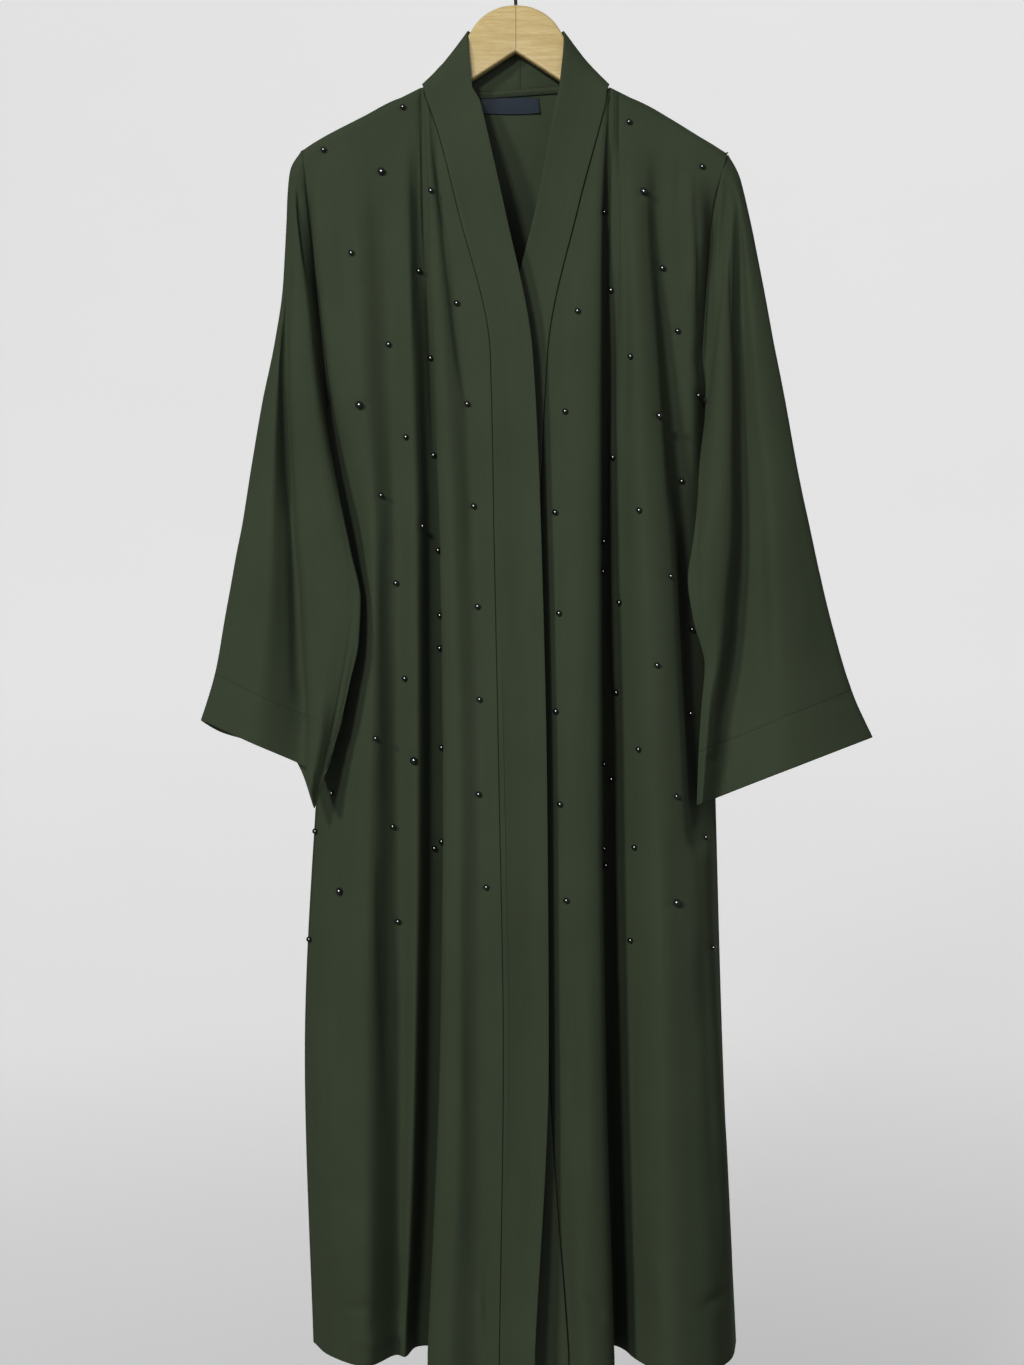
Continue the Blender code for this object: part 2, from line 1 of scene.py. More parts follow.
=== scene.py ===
# %% [markdown]
# # A long open cloak on a wooden hanger
# This lesson dresses a measured model of an open-front abaya. The real thing is
# dark olive crepe: a back, two fronts, two wide sleeves with deep hem bands, and
# one doubled band that runs up each front and round the neck. Small jet beads
# are sewn over both fronts. The measured solids are loaded first and never
# moved, so that every finer piece made here can be laid exactly on its solid.

# %% Load the measured frame
import bpy
import bmesh
from math import cos, exp, hypot, pi, radians, sin, sqrt
from mathutils import Matrix, Vector, noise
from mathutils.bvhtree import BVHTree


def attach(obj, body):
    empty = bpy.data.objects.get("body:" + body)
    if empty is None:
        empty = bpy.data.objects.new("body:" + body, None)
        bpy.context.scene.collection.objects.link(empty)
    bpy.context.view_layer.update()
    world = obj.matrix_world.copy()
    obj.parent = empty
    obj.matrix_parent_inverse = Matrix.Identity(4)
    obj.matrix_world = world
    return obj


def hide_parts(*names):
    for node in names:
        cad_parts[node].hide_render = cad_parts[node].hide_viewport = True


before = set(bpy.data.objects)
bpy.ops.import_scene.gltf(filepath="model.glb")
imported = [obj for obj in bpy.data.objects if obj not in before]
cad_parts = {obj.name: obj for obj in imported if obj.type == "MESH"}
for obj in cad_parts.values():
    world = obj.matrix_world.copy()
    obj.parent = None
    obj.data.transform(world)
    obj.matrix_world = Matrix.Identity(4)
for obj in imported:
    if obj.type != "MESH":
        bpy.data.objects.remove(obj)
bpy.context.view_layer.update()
print("solids:", sorted(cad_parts))

# %% [markdown]
# ## The camera
# The picture was taken from straight in front at about the height of the hips,
# 1.9 m away. The lens is chosen so that one pixel of a 1024 by 1365 picture
# covers 1.06 mm of the hanger's middle plane.

# %% Place the camera
GRID = 0.00106
VIEW_DISTANCE = 1.90
VIEW_X = -0.004
VIEW_Z = -0.772
PICTURE_HEIGHT = 1365

eye_data = bpy.data.cameras.new("eye")
eye_data.sensor_width = 36.0
eye_data.lens = 36.0 * VIEW_DISTANCE / (PICTURE_HEIGHT * GRID)
eye = bpy.data.objects.new("eye", eye_data)
eye.location = (VIEW_X, -VIEW_DISTANCE, VIEW_Z)
eye.rotation_euler = (pi / 2, 0, 0)
bpy.context.scene.collection.objects.link(eye)
bpy.context.scene.camera = eye
print("lens", round(eye_data.lens, 2), "mm")

# %% [markdown]
# ## A measuring grid in front of the cloth
# A tailor reads a hanging garment from the front: so far from the middle, so far
# down. The tables of this lesson do the same, in divisions of 1.06 mm, and give
# beside that how far the cloth stands in front of the hanger, in millimetres.
# Cloth that stands nearer to the eye looks larger, so `seen` takes that out.

# %% Read and write on the measuring grid
def clamp(value, low, high):
    return max(low, min(high, value))


def ease(t):
    t = clamp(t, 0.0, 1.0)
    return t * t * (3.0 - 2.0 * t)


def seen(x, drop, forward):
    """The true place of a point that is seen at x and drop from the front."""
    scale = 1.0 - forward / VIEW_DISTANCE
    return Vector((VIEW_X + (x * GRID - VIEW_X) * scale, -forward,
                   VIEW_Z + (-drop * GRID - VIEW_Z) * scale))


def within(drop, start, rise, end, fall):
    """1 between two drops and 0 beyond them, with soft passages at both ends."""
    return ease((drop - start) / rise) * ease((end - drop) / fall)


def read_off(place):
    """Where a true point is seen on the measuring grid."""
    scale = 1.0 + place.y / VIEW_DISTANCE
    x = (VIEW_X + (place.x - VIEW_X) / scale) / GRID
    drop = -(VIEW_Z + (place.z - VIEW_Z) / scale) / GRID
    return x, drop


def seen_drop(z, forward):
    """The drop, in divisions, at which a true height is seen."""
    return -(VIEW_Z + (z - VIEW_Z) / (1.0 - forward / VIEW_DISTANCE)) / GRID


print("the hanger's tip is seen at", read_off(Vector((0.2, 0, -0.205))))

# %% [markdown]
# ## Smooth lines
# Cloth has no corners of its own, so a few measured values are joined by smooth
# lines. `track` joins numbers without overshooting them, which keeps a fold from
# bulging between two levels. `through` joins points in space with a curve whose
# speed follows the distance between them, which keeps tight folds round.

# %% Two ways to join a few values
def track(knots, values):
    """A smooth line through values at knots that never overshoots them."""
    gaps = [b - a for a, b in zip(knots, knots[1:])]
    rises = [(b - a) / g for a, b, g in zip(values, values[1:], gaps)]
    slopes = [rises[0]]
    for left, right in zip(rises, rises[1:]):
        slopes.append(0.0 if left * right <= 0.0 else 2.0 * left * right / (left + right))
    slopes.append(rises[-1])

    def at(knot):
        knot = clamp(knot, knots[0], knots[-1])
        i = 0
        while i < len(gaps) - 1 and knot > knots[i + 1]:
            i += 1
        t = (knot - knots[i]) / gaps[i]
        return (values[i] * (1 + 2 * t) * (1 - t) ** 2 + values[i + 1] * t * t * (3 - 2 * t)
                + gaps[i] * (slopes[i] * t * (1 - t) ** 2 - slopes[i + 1] * t * t * (1 - t)))

    return at


def through(points, sub, closed=False):
    """A centripetal curve through points, with sub steps between two of them."""
    count = len(points)
    if closed:
        padded = [points[-1]] + list(points) + [points[0], points[1]]
    else:
        first = points[0] * 2.0 - points[1]
        last = points[-1] * 2.0 - points[-2]
        padded = [first] + list(points) + [last]
    result = []
    for i in range(count if closed else count - 1):
        p0, p1, p2, p3 = padded[i:i + 4]
        t0 = 0.0
        t1 = t0 + sqrt((p1 - p0).length) + 1e-9
        t2 = t1 + sqrt((p2 - p1).length) + 1e-9
        t3 = t2 + sqrt((p3 - p2).length) + 1e-9
        for step in range(sub):
            t = t1 + (t2 - t1) * step / sub
            a1 = p0 * ((t1 - t) / (t1 - t0)) + p1 * ((t - t0) / (t1 - t0))
            a2 = p1 * ((t2 - t) / (t2 - t1)) + p2 * ((t - t1) / (t2 - t1))
            a3 = p2 * ((t3 - t) / (t3 - t2)) + p3 * ((t - t2) / (t3 - t2))
            b1 = a1 * ((t2 - t) / (t2 - t0)) + a2 * ((t - t0) / (t2 - t0))
            b2 = a2 * ((t3 - t) / (t3 - t1)) + a3 * ((t - t1) / (t3 - t1))
            result.append(b1 * ((t2 - t) / (t2 - t1)) + b2 * ((t - t1) / (t2 - t1)))
    if not closed:
        result.append(points[-1].copy())
    return result


print("half way between 0 and 1:", track((0, 1), (0.0, 1.0))(0.5))

# %% [markdown]
# ## The sizes of the garment
# Each line of the two tables runs down a front from the shoulder to the hem: the
# bottoms of the folds, their crests, and the edges where the cloth turns back on
# itself. The first row of numbers is how far the line lies from the middle at
# eight levels, the second how far it stands forward. The back hangs in five
# broad folds between the side seams, as a back does whose fronts are that full.
# Single sizes are in metres, unless they are called a drop.

# %% Tables of the fronts and the back
HEM_Z = -1.478
SEAM = 0.0003           # gap between two pieces that are sewn together
SEAM_REST = 0.0011      # how far a wall stands off its seam where it leaves it
ARM_HALF = 0.0088       # half the depth of the cloth over the hanger's arm
SHOULDER_EASE = 0.11    # how far below the shoulder the folds have their full depth
NECK_STAND = 0.0154     # how far the back stands off behind the neck band
TIP_DROP = 196.0        # the shoulder's tip
TIP_SETTLES = 0.0048    # how much lower the left tip lies than the right one
ARMPIT_DROP = 446.0
ARMHOLE_HALF = 0.0150
ARMHOLE_SUNK = 0.0105
FILL = 0.030            # how far the left front springs out below the sleeve's hem
SWELL = 0.027           # how far the back rounds out behind the arm
LEVELS = (140, 176, 250, 400, 600, 850, 1100, 1400)
# shoulder and neck line: distance from the middle, drop (divisions)
SHOULDER = ((94, 133.0), (116, 144.0), (156, 164.0), (196, 185.0), (213, 196.0),
            (222, 203.0))
BACK_NECK = ((-94, 134.5), (-75, 138.5), (-33, 139.6), (0, 137.6), (44, 134.6), (75, 134.2),
             (94, 133.6))

# x of each line down the cloth at LEVELS (divisions from the middle), and how
# far it stands in front of the hanger's middle plane (mm)
FRONT_RIGHT = {
    "side":    ((-214, -214, -207, -191, -175, -200, -211, -202),
                None),
    "roll":    ((-199, -200, -201, -186, -158, -184, -194, -186),
                (9, 14, 23, 27, 15, 12, 16, 20)),
    "flat":    ((-166, -166, -164, -156, -142, -146, -150, -149),
                (9, 16, 28, 34, 37, 41, 45, 50)),
    "valley":  ((-140, -134, -131, -127, -120, -117, -116, -119),
                (9, 15, 22, 24, 24, 20, 18, 18)),
    "ridge":   ((-124, -115, -109, -104, -99, -98, -101, -111),
                (9, 17, 27, 33, 33, 31, 30, 24)),
    "floor":   ((-112, -100, -96, -91, -85, -84, -88, -99),
                (9, 14, 18, 16, 9, 3, -1, -5)),
    "under":   ((-106, -94, -89, -81, -73, -70, -72, -83),
                (9, 13, 17, 14, 7, 1, -3, -6)),
    "edge":    ((-102, -91, -90, -83, -75, -72, -74.5, -87),
                (9, 16, 25, 35, 43, 49, 53, 58)),
    "crown":   ((-99, -87, -82, -73, -63, -57, -57, -67),
                (9, 18, 30, 43, 53, 60, 65, 71)),
    "dip":     ((-96, -83, -71, -52, -42, -37, -35, -39),
                (9, 17, 26, 37, 47, 54, 58, 62)),
    "seam":    ((-92, -79, -60, -26, -22, -17, -13, -17),
                (9, 17, 27, 41, 54, 62, 66, 70)),
}
FRONT_LEFT = {
    "seam":    ((93.5, 84, 64, 32.5, 25, 27, 33.5, 54),
                (9, 15, 22, 28, 33, 40, 47, 54)),
    "crown_a": ((96.5, 87.5, 76, 58, 52, 54, 58, 72),
                (9, 18, 32, 42, 50, 56, 62, 70)),
    "edge":    ((99.5, 91, 86.5, 84.5, 83.5, 84, 87, 96),
                (9, 17, 30, 40, 48, 53, 56, 60)),
    "under":   ((102.5, 94, 88.5, 86, 85, 86, 89, 98),
                (9, 13, 14, 8, 2, -3, -6, -8)),
    "floor":   ((106, 98, 94, 96, 97, 99, 101, 107),
                (9, 14, 17, 13, 9, 6, 3, 1)),
    "step":    ((111, 103, 100, 104, 107, 112, 116, 121),
                (9, 16, 25, 27, 28, 29, 30, 32)),
    "crown_b": ((120, 113, 114, 122, 130, 140, 148, 154),
                (9, 18, 35, 45, 53, 59, 65, 73)),
    "slope":   ((136, 130, 130, 141, 156, 167, 176, 186),
                (9, 17, 32, 39, 46, 51, 58, 66)),
    "valley":  ((150, 146, 141, 152, 164, 175, 190, 203),
                (9, 16, 21, 17, 5, 13, 52, 54)),
    "roll":    ((182, 182, 183, 177, 178, 187, 203, 216),
                (9, 14, 23, 20, 0, 4, 40, 28)),
    "side":    ((214, 214, 197, 188, 194, 200, 207, 221),
                None),
}
FRONTS = {"right": FRONT_RIGHT, "left": FRONT_LEFT}
# both side seams lie this far behind the hanger's middle plane (mm)
SIDE_BACK = (0, 0, 1, 4, 13, 16, 18, 20)

# lines down the back: share of the width at the shoulder and at the hem, and
# depth behind the hanger's plane at LEVELS (mm)
BACK = {
    "turn_r":  (0.05, 0.05, (9, 13, 20, 24, 28, 34, 42, 48)),
    "fold_1":  (0.14, 0.15, (9, 14, 24, 33, 45, 60, 72, 84)),
    "dip_1":   (0.23, 0.23, (9, 13, 20, 25, 27, 29, 30, 28)),
    "fold_2":  (0.32, 0.31, (10, 15, 25, 35, 48, 62, 74, 88)),
    "dip_2":   (0.41, 0.39, (13, 15, 21, 27, 32, 34, 34, 33)),
    "fold_3":  (0.50, 0.48, (15, 17, 24, 34, 47, 60, 73, 82)),
    "dip_3":   (0.59, 0.58, (13, 15, 21, 26, 30, 30, 28, 26)),
    "fold_4":  (0.68, 0.67, (10, 15, 25, 35, 50, 65, 78, 92)),
    "dip_4":   (0.77, 0.76, (9, 13, 20, 25, 29, 33, 35, 35)),
    "fold_5":  (0.86, 0.86, (9, 14, 23, 32, 42, 54, 66, 78)),
    "turn_l":  (0.95, 0.95, (9, 13, 20, 24, 27, 33, 40, 46)),
}

# free edges of the two bands, as on the fronts
BAND_EDGES = {
    "right": ((-38, -29, -12, 17, 26, 31.5, 33, 19),
              (10, 20, 32, 46, 56, 63, 67, 79)),
    "left":  ((42, 35, 20.5, -12, -20, -19, -13, 6),
              (10, 13, 17, 22, 30, 38, 44, 50)),
}
BAND_BOW = 0.0022       # how far a band's middle stands out between its two edges
# a band round the neck to the middle of the back: seam x and drop, free edge x
# and drop (divisions), and how far each stands in front of the hanger (mm);
# behind the neck the seam has the drop of the back's own edge
NECK = (
    # seam_x seam_drop seam_fwd edge_x edge_drop edge_fwd
    (92.5, 136.5, 9.8, 43.5, 133.0, 11.5),
    (93.8, 133.0, 8.0, 45.5, 115.0, 11.5),
    (94.6, 131.2, 4.0, 47.5, 97.0, 11.5),
    (94.8, 131.0, 0.5, 48.5, 85.0, 10.0),
    (94.6, 131.0, -3.0, 49.0, 78.0, 3.5),
    (92.5, 132.0, -9.0, 48.0, 76.5, -4.5),
    (80.0, None, -13.5, 43.0, 81.0, -11.0),
    (50.0, None, -15.0, 30.0, 86.0, -12.8),
    (24.0, None, -15.4, 16.0, 88.0, -13.2),
    (0.15, None, -15.6, 0.15, 88.5, -13.4),
)
print("lines in the fronts:", len(FRONT_RIGHT), len(FRONT_LEFT), "and back:", len(BACK) + 2)

# %% [markdown]
# ## From lines to points
# A wall leaves its seam in a round turn, because the two layers are sewn face to
# face and then opened. `bend` is that turn. A `Line` knows its place at every
# drop, and where it starts on the shoulder or on the back of the neck.

# %% Lines down the cloth
shoulder = track([row[0] for row in SHOULDER], [row[1] for row in SHOULDER])
back_neck_drop = track([row[0] for row in BACK_NECK], [row[1] for row in BACK_NECK])
side_back = track(LEVELS, [value / 1000.0 for value in SIDE_BACK])


def bend(distance, reach, depth):
    """A wall's round turn away from a seam: how far it stands off at a distance."""
    t = clamp(distance / reach, 0.0, 1.0)
    return SEAM_REST + (depth - SEAM_REST) * sqrt(max(0.0, 1.0 - (1.0 - t) ** 2))


def shoulder_drop(x):
    """The drop of the shoulder line on either side."""
    return shoulder(abs(x))


def armhole_half(drop):
    """Half the armhole's depth, from front to back, at a drop."""
    below = (drop - TIP_DROP) * GRID
    above = (ARMPIT_DROP - drop) * GRID
    wide = bend(below, ARM_HALF, ARM_HALF) + (ARMHOLE_HALF - ARM_HALF) * ease(below / 0.07)
    return min(wide, bend(above, 0.05, ARMHOLE_HALF))


def armhole_front(drop):
    """Where the armhole's front lies: it sinks back between front and sleeve."""
    return armhole_half(drop) - ARMHOLE_SUNK * within(drop, 214.0, 60.0, ARMPIT_DROP, 50.0)


class Line:
    """A line down the cloth: x and distance in front of the hanger by drop."""

    def __init__(self, widths, depths):
        self.x = track(LEVELS, widths)
        self.depth = track(LEVELS, [d / 1000.0 for d in depths]) if depths else None

    def forward(self, drop, side):
        """How far it stands forward; side is 1 for the front and -1 for the back."""
        if self.depth is not None:
            return self.depth(drop) * side
        half = armhole_front(drop) if side > 0.0 else -armhole_half(drop)
        return half - side_back(drop)

    def top(self, top_drop):
        """The drop at which the line leaves the shoulder."""
        drop = TIP_DROP
        for _ in range(12):
            drop = top_drop(self.x(drop))
        return drop

    def place(self, share, side, top_drop, stand=0.0):
        """A point at a share of the way from the shoulder to the hem.

        Near the top it stands at least `stand` away from the middle plane.
        """
        top = self.top(top_drop)
        hem = seen_drop(HEM_Z, self.forward(LEVELS[-1], side))
        drop = top + (hem - top) * share
        below = (drop - top) * GRID
        forward = self.forward(drop, side)
        if self.depth is not None:
            start = side * max(bend(below, ARM_HALF, ARM_HALF), stand)
            forward = start + (forward - start) * ease(below / SHOULDER_EASE)
        return seen(self.x(drop), drop, forward)


print("the fold's edge starts at drop",
      round(Line(*FRONT_RIGHT["edge"]).top(shoulder_drop), 1))

# %% [markdown]
# ## Rows of points for each panel
# A panel is worked out row by row. Near the shoulder the rows are close
# together, where the cloth turns over the hanger, and lower down they are 4 to
# 5 mm apart, which is fine enough for every crease that a crepe shows. Three
# places need more than the tables say: `filled` lets the left front spring out
# below the sleeve that presses on it, `swell` rounds the back out under the arm,
# and `settle` lowers the left shoulder's tip, as it lies on the hanger.

# %% Points of the fronts, the back and the bands
def front_grid(table, shares, sub):
    """A front panel's points: rows down the cloth, columns across it."""
    lines = [Line(widths, depths) for widths, depths in table.values()]
    rows = []
    for share in shares:
        points = [line.place(share, 1.0, shoulder_drop) for line in lines]
        if table is FRONT_LEFT:
            # the valley and the roll, the last two lines before the side seam
            for turn in points[-3:-1]:
                turn.y -= filled(read_off(turn)[1])
        rows.append(through(points, sub))
    return rows


def filled(drop):
    """How far the left front springs out again just below the sleeve's hem."""
    return FILL * within(drop, 852.0, 50.0, 1070.0, 190.0)


def settle(points):
    """Lower the left shoulder's tip by 5 mm, as the real one lies on the hanger."""
    for row in points:
        for place in row:
            x, drop = read_off(place)
            place.z -= TIP_SETTLES * ease((x - 135.0) / 60.0) * ease((440.0 - drop) / 240.0)
    return points


def back_top(x):
    """The drop of the back panel's top edge: its neck seam, then the shoulders."""
    return back_neck_drop(x) if abs(x) < 94.0 else shoulder_drop(x)


def back_lines():
    """The back's lines, spread between the two side seams at every level."""
    right = Line(FRONT_RIGHT["side"][0], None)
    left = Line(FRONT_LEFT["side"][0], None)
    lines = [right]
    for at_top, at_hem, depths in BACK.values():
        widths = []
        for i, drop in enumerate(LEVELS):
            share = at_top + (at_hem - at_top) * i / (len(LEVELS) - 1)
            widths.append(right.x(drop) + (left.x(drop) - right.x(drop)) * share)
        lines.append(Line(widths, depths))
    lines.append(left)
    return lines


def swell(drop):
    """How far the back rounds out behind the arm, just below the armpit."""
    return SWELL * within(drop, 385.0, 45.0, 620.0, 90.0)


def back_grid(shares, sub):
    """The back panel's points: rows down the cloth, columns across it."""
    lines = back_lines()
    rows = []
    for share in shares:
        points = []
        for line in lines:
            # below the neck the cloth hangs behind the band, not over the arm
            stand = NECK_STAND * ease((98.0 - abs(line.x(140.0))) / 30.0)
            points.append(line.place(share, -1.0, back_top, stand))
        for turn, way in ((points[1], -1.0), (points[-2], 1.0)):
            turn.x += way * swell(read_off(turn)[1])
        rows.append(through(points, sub))
    return rows


def band_grid(side_name, rows_below, sub):
    """A band from the hem to the middle of the back, rows up and columns across it."""
    sign = -1.0 if side_name == "right" else 1.0
    seam_line = Line(*FRONTS[side_name]["seam"])
    edge_line = Line(*BAND_EDGES[side_name])
    top = seam_line.top(shoulder_drop)
    hem = seen_drop(HEM_Z, seam_line.forward(LEVELS[-1], 1.0))
    rows = []
    for i in range(rows_below):
        share = 1.0 - 0.995 * i / (rows_below - 1)
        drop = top + (hem - top) * share
        # the last divisions below the shoulder are left to the table of the neck
        if drop - top < 12.0:
            continue
        seam = seam_line.place(share, 1.0, shoulder_drop)
        forward = edge_line.forward(drop, 1.0)
        edge_drop = drop if share < 1.0 else seen_drop(HEM_Z, forward)
        edge = seen(edge_line.x(drop), edge_drop - 3.0 * (1.0 - ease((drop - top) / 90.0)), forward)
        rows.append((seam, edge))
    for seam_x, seam_at, seam_fwd, edge_x, edge_drop, edge_fwd in NECK:
        if seam_at is None:
            seam_at = back_top(sign * seam_x) - 0.4
        rows.append((seen(sign * seam_x, seam_at, seam_fwd / 1000.0),
                     seen(sign * edge_x, edge_drop, edge_fwd / 1000.0)))
    grid = []
    for i, (seam, edge) in enumerate(rows):
        low = rows[max(0, i - 1)][0]
        high = rows[min(len(rows) - 1, i + 1)][0]
        across = (edge - seam).normalized()
        out = sign * across.cross((high - low).normalized()).normalized()
        start = seam + across * (SEAM + 0.0010)
        grid.append([start.lerp(edge, k / sub) + out * BAND_BOW * sin(pi * k / sub)
                     for k in range(sub + 1)])
    return grid


ROWS = (24, 280)        # rows in the turn over the hanger, and below it


def cloth_shares(near, far):
    """Row places from the shoulder, 0, to the hem, 1, close together at first."""
    turn = 0.03
    first = [turn * (i / near) ** 2 for i in range(near)]
    return first + [turn + (1.0 - turn) * i / far for i in range(far + 1)]


print("rows of a front:", len(cloth_shares(*ROWS)))

# %% [markdown]
# ## Rings for the sleeves
# Each sleeve hangs folded flat, with its front rolled into one long valley and
# one crest. It starts at the armhole, and ten rings below that carry the outer
# and the inner end of the fold, and the depth of what lies between them.

# %% Points of the sleeves
# rings of each sleeve from the armhole to the hem: outer and inner end
# (divisions), where the valley and the fold's edge lie between them (shares),
# depths in front of the hanger's plane (mm), and how much the hem is caught up
SLEEVE_COLUMNS = ("outer_x", "outer_drop", "inner_x", "inner_drop", "valley", "edge",
                  "outer", "lobe", "deep", "ridge", "crown", "inner", "back", "lift")
SLEEVE_RIGHT = (
    (-226, 218, -190, 466, .08, .18, 0, 10, 13, 20, 25, 10, -14, 0),
    (-230, 271, -184, 501, .07, .16, 0, 12, 15, 23, 30, 23, -15, 0),
    (-233, 331, -175, 549, .07, .14, 2, 12, 13, 25, 34, 33, -15, 0),
    (-242, 391, -165, 596, .14, .19, 4, 15, 10, 26, 38, 41, -13, 0),
    (-254, 451, -155, 646, .26, .32, 6, 23, 11, 29, 43, 48, -9, 0),
    (-265, 516, -157, 688, .39, .46, 8, 30, 16, 35, 49, 53, -3, 0),
    (-277, 591, -165, 726, .52, .59, 9, 36, 20, 41, 54, 54, -1, 2),
    (-289, 656, -172, 758, .62, .69, 10, 41, 25, 47, 57, 53, -1, 8),
    (-301, 720, -182, 796, .74, .80, 11, 45, 30, 52, 59, 48, -1, 18),
    (-315, 766, -201, 854, .88, .94, 12, 47, 35, 53, 57, 48, -1, 33),
)
SLEEVE_LEFT = (
    (224, 218, 189, 466, .10, .26, 0, 9, 9, 17, 20, 4, -14, 0),
    (235, 268, 184, 506, .19, .35, 2, 13, 9, 22, 27, 14, -15, 0),
    (247, 326, 181, 546, .32, .46, 6, 18, 9, 27, 33, 23, -15, 0),
    (258, 386, 177, 586, .39, .51, 10, 23, 9, 32, 39, 31, -13, 0),
    (270, 448, 172, 626, .44, .55, 14, 28, 10, 37, 45, 38, -9, 0),
    (283, 521, 178, 666, .54, .66, 17, 33, 12, 42, 49, 43, -3, 0),
    (299, 594, 189, 711, .69, .81, 18, 38, 17, 45, 51, 45, -2, 0),
    (317, 671, 186, 751, .77, .88, 19, 43, 23, 47, 52, 46, -2, 0),
    (336, 736, 183, 798, .82, .92, 20, 47, 28, 48, 53, 47, -2, 0),
    (357, 783, 181, 851, .86, .95, 20, 50, 33, 49, 53, 47, -2, 0),
)
CUFF_ROW = 8            # the ring where the cuff's seam lies, counted from the first
# where the points of a ring's back lie, from its inner end to its outer one
BACK_SHARES = (0.985, 0.80, 0.48, 0.16)


def front_shares(row):
    """Where the ring's control points lie between its outer and inner ends."""
    crown = row["edge"] + (1.0 - row["edge"]) * 0.45
    brow = 1.0 - (1.0 - crown) * 0.25
    return (0.0, row["valley"] * 0.5, row["valley"], row["edge"], crown, brow, 1.0)


def on_ring(row, share, depth, caught):
    """A ring's point at a share of its width, caught up by some divisions."""
    x = row["outer_x"] + (row["inner_x"] - row["outer_x"]) * share
    drop = row["outer_drop"] + (row["inner_drop"] - row["outer_drop"]) * share
    return seen(x, drop - caught, depth / 1000.0)


def sleeve_rings(table, side_name):
    """Rings of control points from the armhole to the hem."""
    sign = -1.0 if side_name == "right" else 1.0
    side = Line(FRONTS[side_name]["side"][0], None)
    rows = [dict(zip(SLEEVE_COLUMNS, values)) for values in table]
    shares = front_shares(rows[0])
    faces = [1.0] * len(shares) + [-1.0] * len(BACK_SHARES)
    ring = []
    for share, face in zip(shares + BACK_SHARES, faces):
        drop = TIP_DROP + (ARMPIT_DROP - TIP_DROP) * share
        ring.append(seen(side.x(drop), drop, side.forward(drop, face))
                    + Vector((sign * (SEAM + SEAM_REST), 0, 0)))
    ring[0].y = 0.0
    ring[len(shares) - 1] += Vector((0, 0, -0.0035))
    rings = [ring]
    for row in rows:
        brow = row["inner"] + 0.15 * (row["crown"] - row["inner"]) + 0.6
        depths = (row["outer"], row["lobe"], row["deep"], row["ridge"], row["crown"], brow,
                  row["inner"])
        ring = []
        for share, depth in zip(front_shares(row), depths):
            caught = row["lift"] * (1.0 - ease((share - 0.93) / 0.07)) * ease(share / 0.9)
            ring.append(on_ring(row, share, depth, caught))
        for share in BACK_SHARES:
            depth = row["back"] + (row["inner"] - row["outer"]) * share * 0.55
            caught = row["lift"] * ease(share / 0.9) * 1.1
            if share > 0.9:
                depth = row["inner"] - 7.0
                caught = row["lift"] * (1.0 - ease((share - 0.93) / 0.07))
            ring.append(on_ring(row, share, depth, caught))
        rings.append(ring)
    return rings


def sleeve_grid(table, side_name, steps, sub):
    """The whole sleeve as a grid: rings down the arm, closed columns round it."""
    rings = sleeve_rings(table, side_name)
    knots = list(range(len(rings)))
    count = len(rings[0])
    tracks = []
    for j in range(count):
        tracks.append([track(knots, [ring[j][axis] for ring in rings]) for axis in range(3)])
    grid = []
    for step in steps:
        controls = [Vector((axes[0](step), axes[1](step), axes[2](step))) for axes in tracks]
        grid.append(through(controls, sub, closed=True))
    return grid


print("rings of a sleeve:", len(SLEEVE_RIGHT) + 1)

# %% [markdown]
# ## Where the beads are
# Seventy-five small black glass beads are scattered over the two fronts, none on
# the band or the sleeves. Seven are a size larger. Their places are read from the
# measuring grid. They come before the creases, because the thread of each bead
# pulls a small dimple into the cloth, and a larger one pulls short folds as well.

# %% Table of the beads
# across a small and a large bead (mm), and which beads are large
SMALL_BEAD = 6.0
LARGE_BEAD = 8.0
LARGE = ((-134, 218), (-156, 451), (-101, 806), (-175, 937),
         (127, 238), (142, 462), (160, 948))
# where each bead is seen: x and drop (divisions)
BEAD_PLACES = {
    "right": (
        (-113, 153), (-192, 196), (-134, 218), (-85, 237), (-164, 299), (-98, 317), (-59, 349),
        (-127, 390), (-85, 404), (-156, 451), (-49, 450), (-109, 483), (-83, 501), (-136, 541),
        (-42, 552), (-95, 572), (-78, 596), (-120, 629), (-38, 652), (-76, 661), (-76, 694),
        (-110, 724), (-36, 745), (-141, 784), (-74, 793), (-101, 806), (-37, 840), (-183, 839),
        (-124, 872), (-199, 877), (-74, 887), (-82, 894), (-175, 937), (-29, 933), (-118, 967),
        (-205, 985),
    ),
    "left": (
        (113, 168), (186, 213), (127, 238), (87, 258), (146, 314), (96, 336), (62, 357),
        (162, 377), (116, 402), (181, 441), (50, 457), (142, 462), (99, 503), (166, 527),
        (124, 556), (40, 558), (89, 587), (88, 617), (154, 622), (105, 648), (44, 659),
        (176, 675), (141, 711), (102, 738), (41, 757), (174, 759), (124, 795), (89, 810),
        (97, 825), (160, 842), (45, 850), (189, 884), (120, 893), (89, 894), (91, 911),
        (51, 946), (160, 948), (116, 986), (196, 993),
    ),
}
BEADS = {side: [(x, drop, LARGE_BEAD if (x, drop) in LARGE else SMALL_BEAD)
                for x, drop in places] for side, places in BEAD_PLACES.items()}
print("beads:", {side: len(rows) for side, rows in BEADS.items()})
